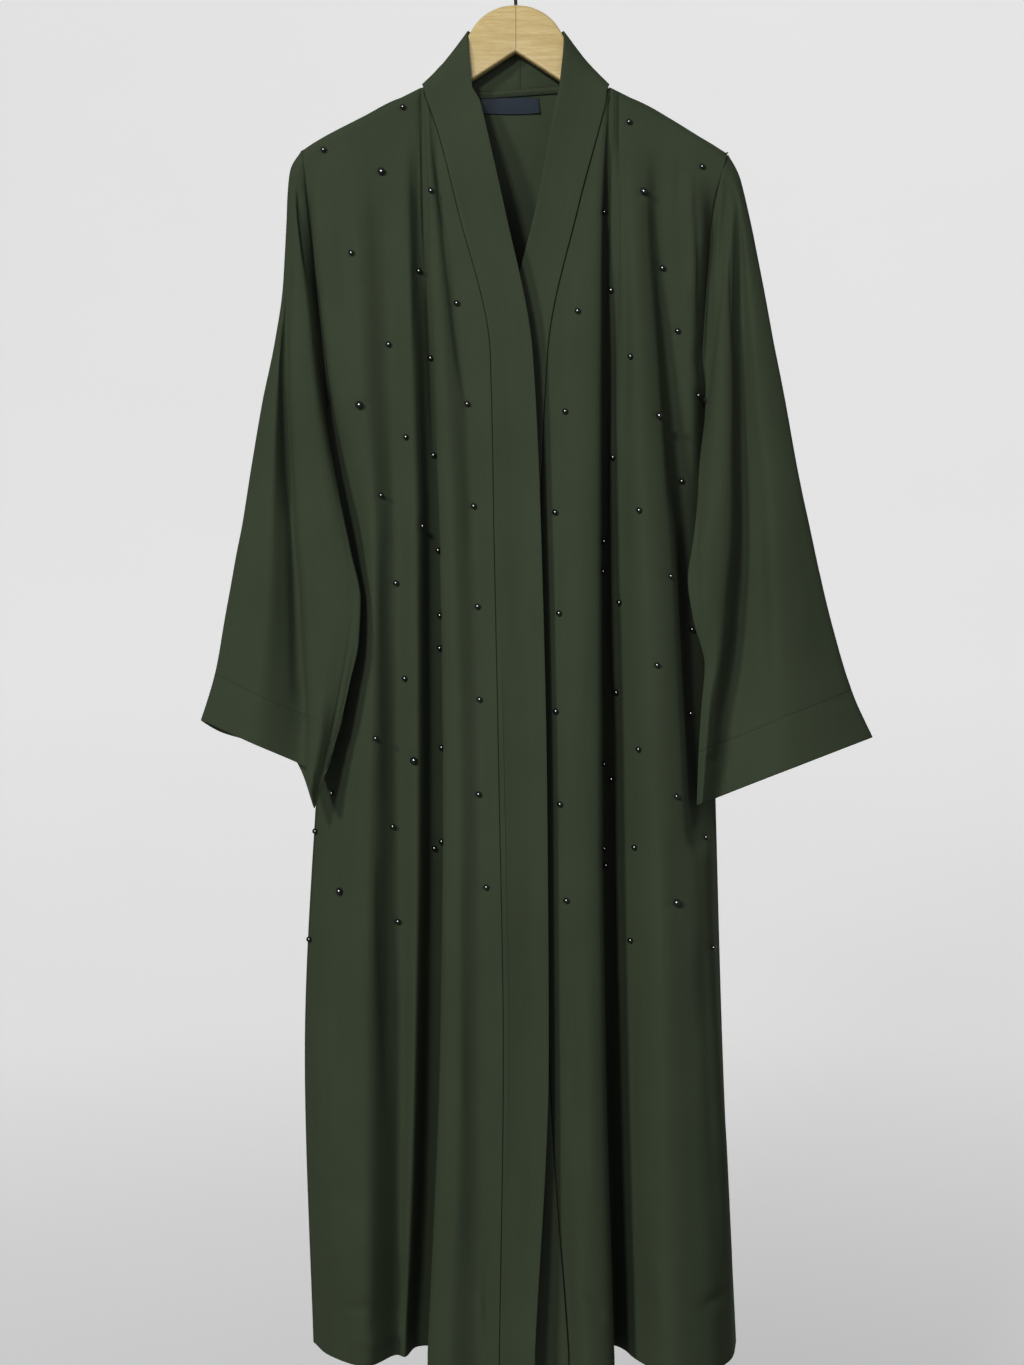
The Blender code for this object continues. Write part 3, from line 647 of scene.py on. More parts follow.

# %% [markdown]
# ## Creases
# Between the great folds a crepe keeps many soft, shallow creases, where it was
# folded, where a bead pulls at it, and where a hem curls. Each is listed
# here, from one end to the other in divisions, with its width and its height in
# millimetres: troughs are negative. `bow` bends it sideways, and `lean` makes one
# of its sides steeper than the other. Pleats are the same, but they have a sharp
# line, where the cloth was creased or is caught in a seam.

# %% Tables of creases
# x and drop of one end, x and drop of the other, bow, width, height, lean
CREASES = {
    "front_right": (
        (-84, 172, -62, 300, -3, 6.0, -2.2, 0.5), (-66, 280, -45, 470, -2, 7.5, -2.4, 0.4),
        (-50, 440, -42, 620, 0, 9.0, -1.6, 0.2), (-78, 180, -52, 330, -2, 5.0, 1.2, 0.0),
        (-97, 160, -92, 330, 1, 4.0, 1.3, 0.0), (-104, 170, -100, 420, 2, 6.0, -1.4, 0.3),
        (-160, 240, -152, 470, 3, 13.0, 1.5, 0.2), (-184, 210, -172, 400, 4, 11.0, -1.3, 0.2),
        (-132, 560, -126, 900, 2, 10.0, -2.0, 0.3), (-136, 880, -124, 1180, -3, 9.0, -2.6, 0.5),
        (-150, 900, -146, 1240, 2, 14.0, 1.6, 0.0), (-112, 700, -116, 980, 1, 9.0, 0.8, 0.2),
        (-176, 1010, -170, 1330, 3, 15.0, -1.7, 0.3), (-190, 1100, -186, 1360, 0, 12.0, 1.4, 0.2),
        (-166, 1352, -118, 1372, 5, 6.0, -1.8, 0.3), (-150, 1384, -108, 1376, -4, 5.0, 1.5, 0.2),
        (-126, 1290, -108, 1390, 2, 12.0, -1.2, 0.0), (-101, 1180, -110, 1400, 0, 9.0, 0.6, 0.0),
        (-32, 1290, -30, 1400, 1, 6.0, -1.6, 0.4), (-45, 880, -40, 1220, -3, 13.0, -1.6, 0.3),
        (-26, 700, -22, 1000, 2, 6.0, 0.9, 0.0), (-60, 1010, -62, 1340, 2, 9.0, 1.4, 0.0),
        (-38, 1330, -26, 1396, -2, 5.0, 1.4, 0.0), (-202, 330, -176, 372, 3, 7.0, -0.9, 0.0),
        (-196, 1240, -150, 1262, 6, 13.0, -0.9, 0.3), (-186, 640, -150, 700, 5, 14.0, -0.8, 0.2),
    ),
    "front_left": (
        (104, 150, 103, 400, 1, 3.2, 1.6, 0.3), (101, 380, 104, 700, 1, 4.0, 1.4, 0.0),
        (110, 168, 108, 520, 1, 4.5, -1.6, 0.4), (164, 186, 168, 350, -2, 6.0, -1.8, 0.3),
        (173, 205, 181, 345, 2, 5.0, 1.4, 0.0), (176, 226, 184, 392, 2, 5.0, -1.6, 0.4),
        (186, 250, 190, 372, 1, 5.0, 1.3, 0.0), (150, 330, 160, 590, -3, 7.5, -2.2, 0.5),
        (180, 384, 193, 450, 3, 7.0, -1.4, 0.2), (158, 360, 183, 408, -3, 8.0, -0.9, 0.3),
        (64, 520, 58, 830, 2, 9.0, 1.2, 0.2), (44, 420, 42, 700, 0, 7.0, -1.0, 0.2),
        (52, 900, 60, 1260, 3, 10.0, -1.4, 0.3), (72, 980, 78, 1300, 0, 7.0, 1.2, 0.0),
        (168, 700, 178, 1080, -3, 12.0, 1.3, 0.2), (188, 860, 198, 1290, 2, 13.0, -1.6, 0.2),
        (206, 1120, 214, 1372, 2, 9.0, 1.4, 0.0), (152, 1010, 160, 1380, 0, 14.0, -1.3, 0.2),
        (124, 1060, 128, 1330, 2, 7.0, 1.3, 0.2), (38, 1108, 62, 1118, 3, 8.0, -0.8, 0.2),
        (180, 1356, 214, 1336, -3, 7.0, -1.5, 0.0), (66, 1346, 90, 1370, 3, 7.0, -1.3, 0.2),
        (140, 1290, 146, 1396, 1, 8.0, 1.3, 0.2), (46, 1290, 50, 1390, 1, 6.0, -1.4, 0.3),
        (120, 420, 126, 690, 1, 9.0, 1.0, 0.0),
    ),
    "back": (
        (-150, 190, -160, 520, 4, 9.0, -2.0, 0.3), (-96, 170, -104, 420, 3, 7.0, 1.6, 0.0),
        (-60, 152, -74, 380, -3, 8.0, -1.8, 0.3), (-12, 156, -8, 460, 2, 9.0, 1.7, 0.2),
        (40, 150, 52, 400, 3, 8.0, -2.0, 0.4), (92, 166, 104, 470, -3, 8.0, 1.6, 0.0),
        (150, 200, 158, 540, 3, 9.0, -1.9, 0.3), (-182, 260, -168, 420, 3, 6.0, -1.3, 0.3),
        (178, 250, 172, 410, -3, 6.0, 1.3, 0.0), (-120, 520, -128, 900, 3, 10.0, 1.7, 0.2),
        (-66, 600, -62, 1020, -3, 10.0, -2.0, 0.4), (8, 640, 2, 1080, 3, 9.0, -1.8, 0.3),
        (70, 560, 76, 960, 2, 10.0, 1.8, 0.2), (132, 620, 140, 1050, -3, 10.0, -2.0, 0.3),
        (-160, 940, -164, 1330, 3, 11.0, 1.7, 0.2), (-104, 1000, -112, 1380, 2, 9.0, -1.8, 0.4),
        (-34, 1080, -30, 1390, 0, 9.0, 1.6, 0.2), (36, 1060, 44, 1390, 2, 9.0, -1.9, 0.3),
        (104, 1100, 112, 1380, -3, 10.0, 1.8, 0.2), (170, 980, 182, 1370, 3, 11.0, -1.8, 0.3),
        (-140, 1352, -96, 1366, 5, 6.0, -1.5, 0.3), (20, 1360, 66, 1346, -5, 6.0, -1.5, 0.2),
        (120, 1350, 160, 1368, 5, 6.0, 1.5, 0.2), (-200, 700, -160, 742, 5, 12.0, -1.0, 0.2),
        (-80, 240, 60, 262, 9, 13.0, -1.0, 0.3),
    ),
    "sleeve_right": (
        (-220, 224, -207, 330, -1, 3.2, -2.0, 0.4), (-213, 222, -199, 316, -1, 3.0, 1.4, 0.0),
        (-228, 240, -224, 420, 1, 7.0, -1.4, 0.3), (-160, 640, -200, 846, 3, 1.5, -0.9, 0.3),
        (-232, 500, -228, 790, 2, 6.0, 1.2, 0.0), (-196, 560, -190, 770, -2, 12.0, -1.3, 0.2),
        (-245, 520, -262, 740, -3, 11.0, -1.4, 0.3), (-276, 560, -286, 720, 2, 12.0, 1.1, 0.0),
        (-186, 474, -166, 560, 2, 6.0, -1.6, 0.3), (-214, 800, -196, 834, 2, 6.0, -1.1, 0.2),
        (-292, 772, -250, 784, 3, 7.0, -1.0, 0.3), (-212, 330, -200, 470, 1, 9.0, 1.0, 0.0),
    ),
    "sleeve_left": (
        (240, 446, 247, 770, 2, 11.0, -2.6, 0.4), (252, 500, 266, 760, -3, 12.0, 1.6, 0.2),
        (196, 246, 190, 330, 1, 3.2, -1.9, 0.4), (204, 240, 197, 350, 1, 3.2, 1.5, 0.0),
        (214, 222, 220, 420, -2, 4.5, -1.7, 0.4), (226, 226, 240, 420, 2, 7.0, 1.4, 0.2),
        (186, 560, 184, 690, 3, 9.0, 1.6, 0.0), (200, 640, 198, 800, -2, 8.0, -1.5, 0.3),
        (282, 560, 312, 740, 3, 13.0, -1.4, 0.2), (236, 752, 262, 768, -4, 6.0, -1.7, 0.3),
        (244, 770, 280, 764, 3, 6.0, 1.0, 0.2), (300, 750, 336, 742, -2, 7.0, -0.9, 0.2),
        (190, 800, 216, 822, 3, 7.0, -1.4, 0.3), (176, 520, 180, 600, 1, 5.0, -1.4, 0.3),
    ),
    "band_right": (
        (-84, 116, -40, 134, 7, 3.5, 0.9, 0.3), (-88, 124, -46, 146, 6, 3.5, -0.7, 0.3),
        (-60, 190, -36, 300, 2, 9.0, -0.6, 0.2), (-12, 500, -6, 760, -2, 9.0, 0.7, 0.2),
        (10, 840, 14, 1100, 2, 8.0, -0.7, 0.2), (2, 1160, 0, 1390, 2, 8.0, 0.8, 0.2),
    ),
    "band_left": (
        (52, 110, 84, 150, 4, 6.0, -0.6, 0.2), (52, 190, 66, 270, 3, 8.0, 0.6, 0.2),
        (24, 330, 26, 460, 1, 6.0, -0.6, 0.2), (30, 1190, 42, 1390, 2, 7.0, 0.8, 0.2),
    ),
}
PLEATS = {
    "front_right": (
        (-95, 88, -90, 330, -1, 3.6, -4.0, 0.3), (-90, 300, -82, 520, 0, 3.4, -2.4, 0.3),
        (-89, 88, -82, 300, -1, 3.0, 2.4, 0.0), (-99, 150, -97, 380, 1, 3.2, -1.2, 0.0),
        (-82, 140, -46, 480, -5, 5.0, -2.6, 0.3), (-130, 880, -126, 1130, 2, 6.0, -2.2, 0.3),
        (-148, 200, -140, 330, 2, 5.0, -0.7, 0.0), (-176, 1352, -134, 1378, 6, 5.0, -2.0, 0.2),
        (-168, 1380, -124, 1392, -4, 4.0, 1.6, 0.0), (-31, 1330, -28, 1402, 1, 4.0, -1.6, 0.2),
    ),
    "front_left": (
        (94, 86, 90, 360, 1, 3.2, -3.8, 0.2), (97, 86, 96, 420, 0, 2.4, 3.0, 0.0),
        (96, 400, 100, 800, 0, 3.0, 4.2, 0.0), (100, 780, 105, 1100, 0, 3.0, 2.2, 0.0),
        (104, 86, 101, 420, 0, 2.8, -3.2, 0.2), (141, 290, 163, 590, -2, 4.5, -2.8, 0.3),
        (176, 206, 184, 352, 2, 3.0, -1.8, 0.2), (169, 214, 178, 330, 2, 2.6, 1.0, 0.0),
        (165, 372, 186, 412, -3, 4.0, -1.2, 0.0), (178, 400, 194, 452, 3, 4.0, -1.2, 0.0),
        (186, 1352, 216, 1330, -3, 5.0, -2.0, 0.2), (60, 1340, 88, 1366, 3, 4.5, -1.4, 0.2),
    ),
    "sleeve_right": (
        (-232, 338, -224, 590, 1, 6.0, -2.6, -0.3), (-224, 560, -209, 818, 1, 6.0, -2.6, -0.3),
        (-219, 224, -208, 318, 0, 2.2, -2.0, 0.0), (-158, 676, -199, 852, 3, 2.2, -1.4, 0.0),
    ),
    "sleeve_left": (
        (221, 236, 220, 600, 0, 6.0, -2.2, 0.3), (218, 580, 204, 800, 0, 6.0, -2.0, 0.3),
        (212, 214, 202, 350, 1, 2.4, -1.6, 0.0), (206, 216, 197, 380, 1, 2.0, 1.4, 0.0),
        (182, 560, 190, 700, -4, 4.0, -1.4, 0.0), (188, 800, 214, 826, 3, 4.0, -1.2, 0.0),
    ),
}
# the short folds that large beads pull: both ends as above, but all of one kind
PULL_ENDS = ((-134, 218, -150, 202), (-156, 451, -138, 449), (127, 238, 112, 246),
             (142, 462, 158, 456), (-101, 806, -114, 796), (160, 948, 146, 956))
PULLS = [ends + (0.0, 2.6, -0.9, 0.0) for ends in PULL_ENDS]


def dimple(x, drop, beads):
    """How far the threads of the beads pull the cloth down, in metres."""
    pull = 0.0
    for bead_x, bead_drop, across in beads:
        if abs(x - bead_x) < 14.0 and abs(drop - bead_drop) < 14.0:
            away = hypot(x - bead_x, drop - bead_drop) * GRID / (across * 0.0008)
            pull += across * 0.00016 * exp(-away ** 1.5)
    return -pull


def crease_height(table, x, drop, roundness=2.0):
    """How far the creases lift the cloth, in metres, at a place of the grid.

    With a roundness of 2 a crease is soft, and nearer to 1 it has a sharp line.
    """
    total = 0.0
    for row in table:
        x1, drop1, x2, drop2, bow, width, height, lean = row
        along_x, along_d = x2 - x1, drop2 - drop1
        length = hypot(along_x, along_d)
        t = ((x - x1) * along_x + (drop - drop1) * along_d) / length ** 2
        if t <= 0.0 or t >= 1.0:
            continue
        aside = ((x - x1) * along_d - (drop - drop1) * along_x) / length
        aside = (aside - bow * 4.0 * t * (1.0 - t)) * GRID * 1000.0
        if abs(aside) > 3.5 * width:
            continue
        wide = width * (1.0 + lean if aside > 0.0 else 1.0 - lean)
        profile = exp(-abs(aside / wide) ** roundness)
        total += height * profile * ease(t / 0.3) * ease((1.0 - t) / 0.3)
    return total / 1000.0


def worked(part, x, drop):
    """All that lifts the cloth of one part at a place: creases, pleats, beads."""
    lift = crease_height(CREASES[part], x, drop)
    lift += crease_height(PLEATS.get(part, ()), x, drop, 1.2)
    if part.startswith("front"):
        lift += dimple(x, drop, BEADS[part.split("_")[1]])
        lift += crease_height(PULLS, x, drop, 1.3)
    return lift


def unevenness(place, seed, amount):
    """The slight unrest of cloth that was folded once, in metres."""
    slow = noise.noise(Vector((place.x * 17.0, place.y * 9.0 + seed, place.z * 6.0)))
    quick = noise.noise(Vector((place.x * 62.0, place.y * 20.0 - seed, place.z * 23.0)))
    return amount * (0.75 * slow + 0.25 * quick)


print("creases placed by hand:", sum(len(rows) for rows in CREASES.values()))

# %% [markdown]
# ## Shader sums written as Python
# A finish is mostly arithmetic on patterns. `Wire` wraps a socket, so that two
# patterns can be added or multiplied as numbers are, and `Finish` holds one
# material. Its `node` adds any other node: the settings come first, because some
# of them change which sockets there are.

# %% A wire and a finish
class Wire:
    def __init__(self, finish, socket):
        self.finish = finish
        self.socket = socket

    def math(self, kind, other=None, swapped=False):
        values = (other, self) if swapped else (self, other)
        sockets = {i: value for i, value in enumerate(values) if value is not None}
        return self.finish.node("ShaderNodeMath", {"operation": kind}, sockets)

    def __add__(self, other):
        return self.math("ADD", other)

    def __sub__(self, other):
        return self.math("SUBTRACT", other)

    def __rsub__(self, other):
        return self.math("SUBTRACT", other, True)

    def __mul__(self, other):
        return self.math("MULTIPLY", other)


class Finish:
    def __init__(self, name):
        self.material = bpy.data.materials.new(name)
        self.material.use_nodes = True
        self.tree = self.material.node_tree
        self.tree.nodes.clear()

    def node(self, kind, settings=None, sockets=None, out=0):
        made = self.tree.nodes.new(kind)
        for key, value in (settings or {}).items():
            if key == "stops":
                ramp = made.color_ramp
                for spare in list(ramp.elements)[2:]:
                    ramp.elements.remove(spare)
                while len(ramp.elements) < len(value):
                    ramp.elements.new(0.5)
                for stop, (at, shade) in zip(ramp.elements, value):
                    stop.position = at
                    stop.color = (shade, shade, shade, 1.0)
            else:
                setattr(made, key, value)
        for key, value in (sockets or {}).items():
            socket = made.inputs[key]
            if isinstance(value, Wire):
                self.tree.links.new(value.socket, socket)
            else:
                socket.default_value = value
        return Wire(self, made.outputs[out]) if made.outputs else None

    def cloth_place(self):
        """Where a point lies on the flat cloth, in metres across and down."""
        return self.node("ShaderNodeUVMap", {"uv_map": "UVMap"})

    def object_place(self):
        return self.node("ShaderNodeTexCoord", out="Object")

    def speckle(self, place, scale, detail=2.0, rough=0.5, stretch=None):
        if stretch:
            place = self.node("ShaderNodeMapping", None, {"Vector": place, "Scale": stretch})
        return self.node("ShaderNodeTexNoise", None, {
            "Vector": place, "Scale": scale, "Detail": detail, "Roughness": rough})

    def between(self, mask, first, second):
        """The first colour where the mask is 0 and the second where it is 1."""
        return self.node("ShaderNodeMix", {"data_type": "RGBA"},
                         {0: mask, 6: (*first, 1.0) if isinstance(first, tuple) else first,
                          7: (*second, 1.0) if isinstance(second, tuple) else second}, 2)

    def ramp(self, value, *stops):
        return self.node("ShaderNodeValToRGB", {"stops": stops}, {0: value})

    def bump(self, height, distance, strength=1.0):
        return self.node("ShaderNodeBump", None, {
            "Height": height, "Distance": distance, "Strength": strength})

    def close(self, **sockets):
        """Join everything to one Principled shader and return the material."""
        named = {key.replace("_", " "): value for key, value in sockets.items()}
        shader = self.node("ShaderNodeBsdfPrincipled", None, named)
        self.node("ShaderNodeOutputMaterial", None, {"Surface": shader})
        return self.material


print("shader helpers ready")

# %% [markdown]
# ## The olive crepe
# Crepe is woven from hard-twisted yarn, so its face is matt and slightly
# pebbled, with no shine and hardly any visible thread. The pebble is a fine
# noise in the cloth's own coordinates, 0.6 mm across, over a very faint twill of
# slanting yarns. The colour is a dark olive that is a little uneven over a
# hand's width, and lighter by a trace where the pebble stands up.

# %% Mix the crepe
def crepe(name, lift=1.0, grain=1.0):
    """Olive crepe: lift makes it paler, and grain is how much the pebble tints it."""
    cloth = Finish(name)
    flat = cloth.cloth_place()
    pebble = cloth.speckle(flat, 1500.0, 2.0, 0.6)
    yarn = cloth.node("ShaderNodeTexWave", {"wave_type": "BANDS", "bands_direction": "DIAGONAL"},
                      {"Vector": flat, "Scale": 260.0, "Distortion": 1.4, "Detail": 1.0,
                       "Detail Scale": 2.0}, 1)
    cloudy = cloth.speckle(cloth.object_place(), 9.0, 3.0, 0.55)
    streak = cloth.speckle(flat, 1.0, 2.0, 0.6, (160.0, 9.0, 1.0))
    relief = pebble * 0.7 + yarn * 0.3
    tone = cloudy * 0.5 + streak * 0.22 + relief * 0.42 * grain
    dark = tuple(lift * value for value in (0.0265, 0.0372, 0.0205))
    pale = tuple(lift * value for value in (0.0545, 0.0712, 0.0405))
    colour = cloth.between(tone - 0.07, dark, pale)
    rough = cloth.ramp(relief, (0.3, 0.90), (0.7, 0.78))
    return cloth.close(Base_Color=colour, Roughness=rough,
                       Normal=cloth.bump(relief, 0.00022, 0.55),
                       Sheen_Weight=0.04, Sheen_Roughness=0.5,
                       Sheen_Tint=(0.55, 0.62, 0.48, 1.0), Specular_IOR_Level=0.14)


olive_crepe = crepe("olive_crepe")
olive_band = crepe("olive_crepe_double", 1.03, 0.9)
print("crepe mixed")

# %% [markdown]
# ## From points to cloth
# A cloth piece starts as a flat bmesh grid, as cloth starts flat on the table.
# Every vertex is moved to the place that its row and column have in the table of
# points, tubes are closed along their seam, and then the creases and the slight
# unrest push each vertex along its normal. Solidify gives the cloth its
# thickness on the inside, and Bevel rounds the cut edges.

# %% Lay a grid on its points
CREPE_THICK = 0.0011
HEM_BAND_THICK = 0.0013
BAND_THICK = 0.0018
BACK_SEED = 3.0
# seam allowances: the steps (onward, inward), in metres, that `tuck` takes
BAND_ALLOWANCE = ((0.0003, 0.0019), (0.0055, 0.0023))
NECK_ALLOWANCE = ((0.0010, 0.0006), (0.0048, 0.0014))
SIDE_ALLOWANCE = ((0.0012, 0.0008), (0.0042, 0.0014))
ARMHOLE_ALLOWANCE = ((0.0010, 0.0012), (0.0055, 0.0016))
HEM_BAND_ALLOWANCE = ((0.0004, 0.0013), (0.0055, 0.0014))
BAND_JOIN = ((0.0003, 0.0006), (0.0050, 0.0007))


def lay_cloth(name, points, part, thickness, seed, wide, long, closed=False,
              turned=False, rest=0.0006, calm=6):
    """A cloth piece on a grid of points, solid and rounded at its cut edges.

    part names its creases, seed sets its own unrest, wide and long are the size of
    its pattern, and calm is the number of rows at an edge in which both fade out.
    """
    rows, columns = len(points) - 1, len(points[0]) - (0 if closed else 1)
    bm = bmesh.new()
    bm.loops.layers.uv.new("UVMap")
    bmesh.ops.create_grid(bm, x_segments=columns, y_segments=rows, size=0.5, calc_uvs=True)
    sheet = bm.loops.layers.uv["UVMap"]
    for face in bm.faces:
        for loop in face.loops:
            loop[sheet].uv = ((loop.vert.co.x + 0.5) * wide, (loop.vert.co.y + 0.5) * long)
    home = bm.verts.layers.float.new("calm")
    for vert in bm.verts:
        column = round((vert.co.x + 0.5) * columns)
        row = rows - round((vert.co.y + 0.5) * rows)
        edge = min(row, rows - row) if closed else min(row, rows - row, column, columns - column)
        vert[home] = ease(edge / calm)
        vert.co = points[row][column % len(points[0])]
    if closed:
        bmesh.ops.remove_doubles(bm, verts=bm.verts, dist=1e-6)
    if turned:
        bmesh.ops.reverse_faces(bm, faces=bm.faces)
    bm.normal_update()
    moves = []
    for vert in bm.verts:
        x, drop = read_off(vert.co)
        lift = unevenness(vert.co, seed, rest)
        if part:
            lift += worked(part, x, drop) * facing(vert.normal, seed)
        moves.append(vert.normal * lift * vert[home])
    for vert, move in zip(bm.verts, moves):
        vert.co += move
    cloth = hand_over(name, bm)
    wall = cloth.modifiers.new("thickness", "SOLIDIFY")
    wall.thickness = thickness
    wall.offset = -1.0
    rim = cloth.modifiers.new("rim", "BEVEL")
    rim.width = thickness * 0.42
    rim.segments = 2
    rim.limit_method = "ANGLE"
    rim.angle_limit = radians(60)
    return cloth


def facing(normal, seed):
    """Creases of a tube belong to its front; the back gets them at half height."""
    return 1.0 if normal.y < 0.0 or seed == BACK_SEED else 0.5


def hand_over(name, bm):
    """Make the bmesh an object at the origin, smooth, in the root body."""
    mesh = bpy.data.meshes.new(name)
    bm.to_mesh(mesh)
    bm.free()
    mesh.shade_smooth()
    piece = bpy.data.objects.new(name, mesh)
    bpy.context.scene.collection.objects.link(piece)
    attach(piece, "root")
    return piece


def measure(points, closed=False):
    """Greatest width, greatest length and area of a grid of points, in metres."""
    count = len(points[0])
    widths = [sum((row[(j + 1) % count] - row[j]).length
                  for j in range(count if closed else count - 1)) for row in points]
    spans = [sum((low[j] - high[j]).length for high, low in zip(points, points[1:]))
             for j in range(count)]
    area = 0.0
    for high, low in zip(points, points[1:]):
        for j in range(count if closed else count - 1):
            k = (j + 1) % count
            area += (low[k] - high[j]).cross(low[j] - high[k]).length / 2
    return max(widths), max(spans), area


def tuck(points, edge, steps, turned=False, aside=None, closed=False):
    """Carry an edge on under its neighbour, as a seam allowance lies.

    Each step is (onward, inward) in metres; aside(point) may give another way on.
    """
    upright = edge in ("left", "right")
    lines = [list(line) for line in (points if upright else zip(*points))]
    near, next_in = (-1, -2) if edge in ("right", "bottom") else (0, 1)
    sign = (1.0 if edge in ("left", "bottom") else -1.0) * (-1.0 if turned else 1.0)
    count = len(lines)
    grown = []
    for i, line in enumerate(lines):
        before = lines[(i - 1) % count if closed else max(i - 1, 0)]
        after = lines[(i + 1) % count if closed else min(i + 1, count - 1)]
        out = (line[near] - line[next_in]).normalized()
        normal = sign * out.cross(after[near] - before[near]).normalized()
        way = aside(line[near]) if aside else out
        added = [line[near] + way * onward - normal * inward for onward, inward in steps]
        grown.append(line + added if near == -1 else added[::-1] + line)
    return grown if upright else [list(row) for row in zip(*grown)]


print("cloth can be laid")

# %% [markdown]
# ## The two fronts
# A front hangs from the shoulder seam in two deep folds beside the band. On the
# wearer's left the second fold is so deep that its inside is nearly black. Where
# the band is sewn on, the front goes on under it as a seam allowance, so that
# the seam is a closed, dark groove.

# %% Hang the fronts
shares = cloth_shares(*ROWS)
front_right_points = front_grid(FRONT_RIGHT, shares, 12)
front_left_points = settle(front_grid(FRONT_LEFT, shares, 12))
cuts = {"right_front_cloth": measure(front_right_points),
        "left_front_cloth": measure(front_left_points)}
print("widest, longest and area of each front:", cuts)
front_right_points = tuck(front_right_points, "right", BAND_ALLOWANCE)
front_left_points = tuck(front_left_points, "left", BAND_ALLOWANCE)
right_front = lay_cloth("right_front_cloth", front_right_points, "front_right",
                        CREPE_THICK, seed=1.0, wide=0.42, long=1.37)
left_front = lay_cloth("left_front_cloth", front_left_points, "front_left",
                       CREPE_THICK, seed=2.0, wide=0.48, long=1.37)
for piece, node in ((right_front, "front_right"), (left_front, "front_left")):
    piece.data.materials.append(olive_crepe)
    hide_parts(node)

# %% [markdown]
# ## The back
# The back is cut in one with the back neck, and is seen from the front through
# the open neck. From behind it hangs in five broad folds. Its allowances go on
# under the fronts at the shoulders and the sides, and up inside the neck band.

# %% Hang the back
back_points = settle(back_grid(shares, 10))
cuts["back_cloth"] = measure(back_points)
print("back:", cuts["back_cloth"])


def over_the_top(point):
    """The back's top edge goes on upward in the neck and forward on the shoulders."""
    in_neck = abs(read_off(point)[0]) < 93.0
    return Vector((0, 0, 1)) if in_neck else Vector((0, -1, -0.15))


back_points = tuck(back_points, "top", NECK_ALLOWANCE, True, over_the_top)
for edge in ("left", "right"):
    back_points = tuck(back_points, edge, SIDE_ALLOWANCE, True, lambda point: Vector((0, -1, 0)))
back_cloth = lay_cloth("back_cloth", back_points, "back", CREPE_THICK, BACK_SEED,
                       wide=0.62, long=1.36, turned=True)
back_cloth.data.materials.append(olive_crepe)
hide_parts("back")

# %% [markdown]
# ## The sleeves and their hem bands
# The sleeve is one tube with its seam underneath. Its hem band is a second tube
# of doubled cloth, sewn on with a seam that shows as a faint line.

# %% Hang the sleeves
last = float(CUFF_ROW + 1)
arm_steps = [last * i / 150 for i in range(151)]
cuff_steps = [last + i / 18 for i in range(1, 19)]
sleeves = {}
for side, table, seed in (("right", SLEEVE_RIGHT, 4.0), ("left", SLEEVE_LEFT, 5.0)):
    tube = settle(sleeve_grid(table, side, arm_steps + cuff_steps, 17))
    arm = tube[:len(arm_steps)]
    band = [[a + (b - a).normalized() * SEAM for a, b in zip(arm[-1], tube[len(arm)])]]
    band += tube[len(arm):]
    cuts[side + "_sleeve_cloth"] = measure(arm, True)
    cuts[side + "_sleeve_hem_band"] = measure(band, True)
    print(side, "sleeve:", cuts[side + "_sleeve_cloth"],
          "hem band:", cuts[side + "_sleeve_hem_band"])
    part = "sleeve_" + side
    turned = side == "left"
    inward = Vector((-1.0 if turned else 1.0, 0, 0))
    arm = tuck(arm, "top", ARMHOLE_ALLOWANCE, turned, lambda point: inward, True)
    band = tuck(band, "top", HEM_BAND_ALLOWANCE, turned, None, True)
    sleeve = lay_cloth(side + "_sleeve_cloth", arm, part, CREPE_THICK, seed,
                       wide=0.42, long=0.62, closed=True, turned=turned)
    cuff = lay_cloth(side + "_sleeve_hem_band", band, part, HEM_BAND_THICK, seed,
                     wide=0.46, long=0.06, closed=True, turned=turned, calm=5)
    sleeve.data.materials.append(olive_crepe)
    cuff.data.materials.append(olive_band)
    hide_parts(part)
    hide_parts("cuff_" + side)
    sleeves[side] = (sleeve, cuff)

# %% [markdown]
# ## The doubled front band
# A strip of crepe, folded lengthwise, runs from the hem up each front and round
# the neck, with a join at the middle of the back. It is thicker than the rest,
# stands up at the neck, and its free edge is a fold, so it is rounded more.

# %% Sew on the band
for side, seed in (("right", 6.0), ("left", 7.0)):
    points = band_grid(side, 300, 12)
    print(side, "band:", measure(points))
    if side == "right":
        points = tuck(points, "bottom", BAND_JOIN, True)
    band = lay_cloth(side + "_front_band", points, "band_" + side, BAND_THICK, seed,
                     wide=0.05, long=1.45, turned=side == "right", rest=0.0004, calm=3)
    band.data.materials.append(olive_band)
    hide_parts("band_" + side)

# %% [markdown]
# ## The jet beads
# A bead is a ball, flattened a little, pulled down onto the cloth by its thread.
# Each is set where a line from the eye through its place in the table meets the
# cloth, and all of them are joined into one mesh for each front.

# %% Sew on the beads
BEAD_STAND = 0.42       # how high a bead's middle stands, as a share of its width
BEAD_FLAT = 0.86        # its height as a share of its width
jet = Finish("jet_glass")
swirl = jet.speckle(jet.object_place(), 900.0, 2.0, 0.5)
jet_glass = jet.close(Base_Color=jet.between(swirl, (0.002, 0.003, 0.003), (0.005, 0.006, 0.005)),
                      Roughness=jet.ramp(swirl, (0.3, 0.05), (0.8, 0.13)),
                      Specular_IOR_Level=0.8, Coat_Weight=1.0, Coat_Roughness=0.06)


def surface_of(piece):
    """The finished surface of a piece, ready to be met by a line of sight."""
    return BVHTree.FromObject(piece, bpy.context.evaluated_depsgraph_get())


def meet(surface, x, drop):
    """The point and normal where the line of sight through x and drop meets it."""
    start = Vector(eye.location)
    aim = (seen(x, drop, 0.0) - start).normalized()
    place, normal, _, _ = surface.ray_cast(start, aim)
    if place is not None and normal.dot(aim) > 0.0:
        normal = -normal
    return place, normal


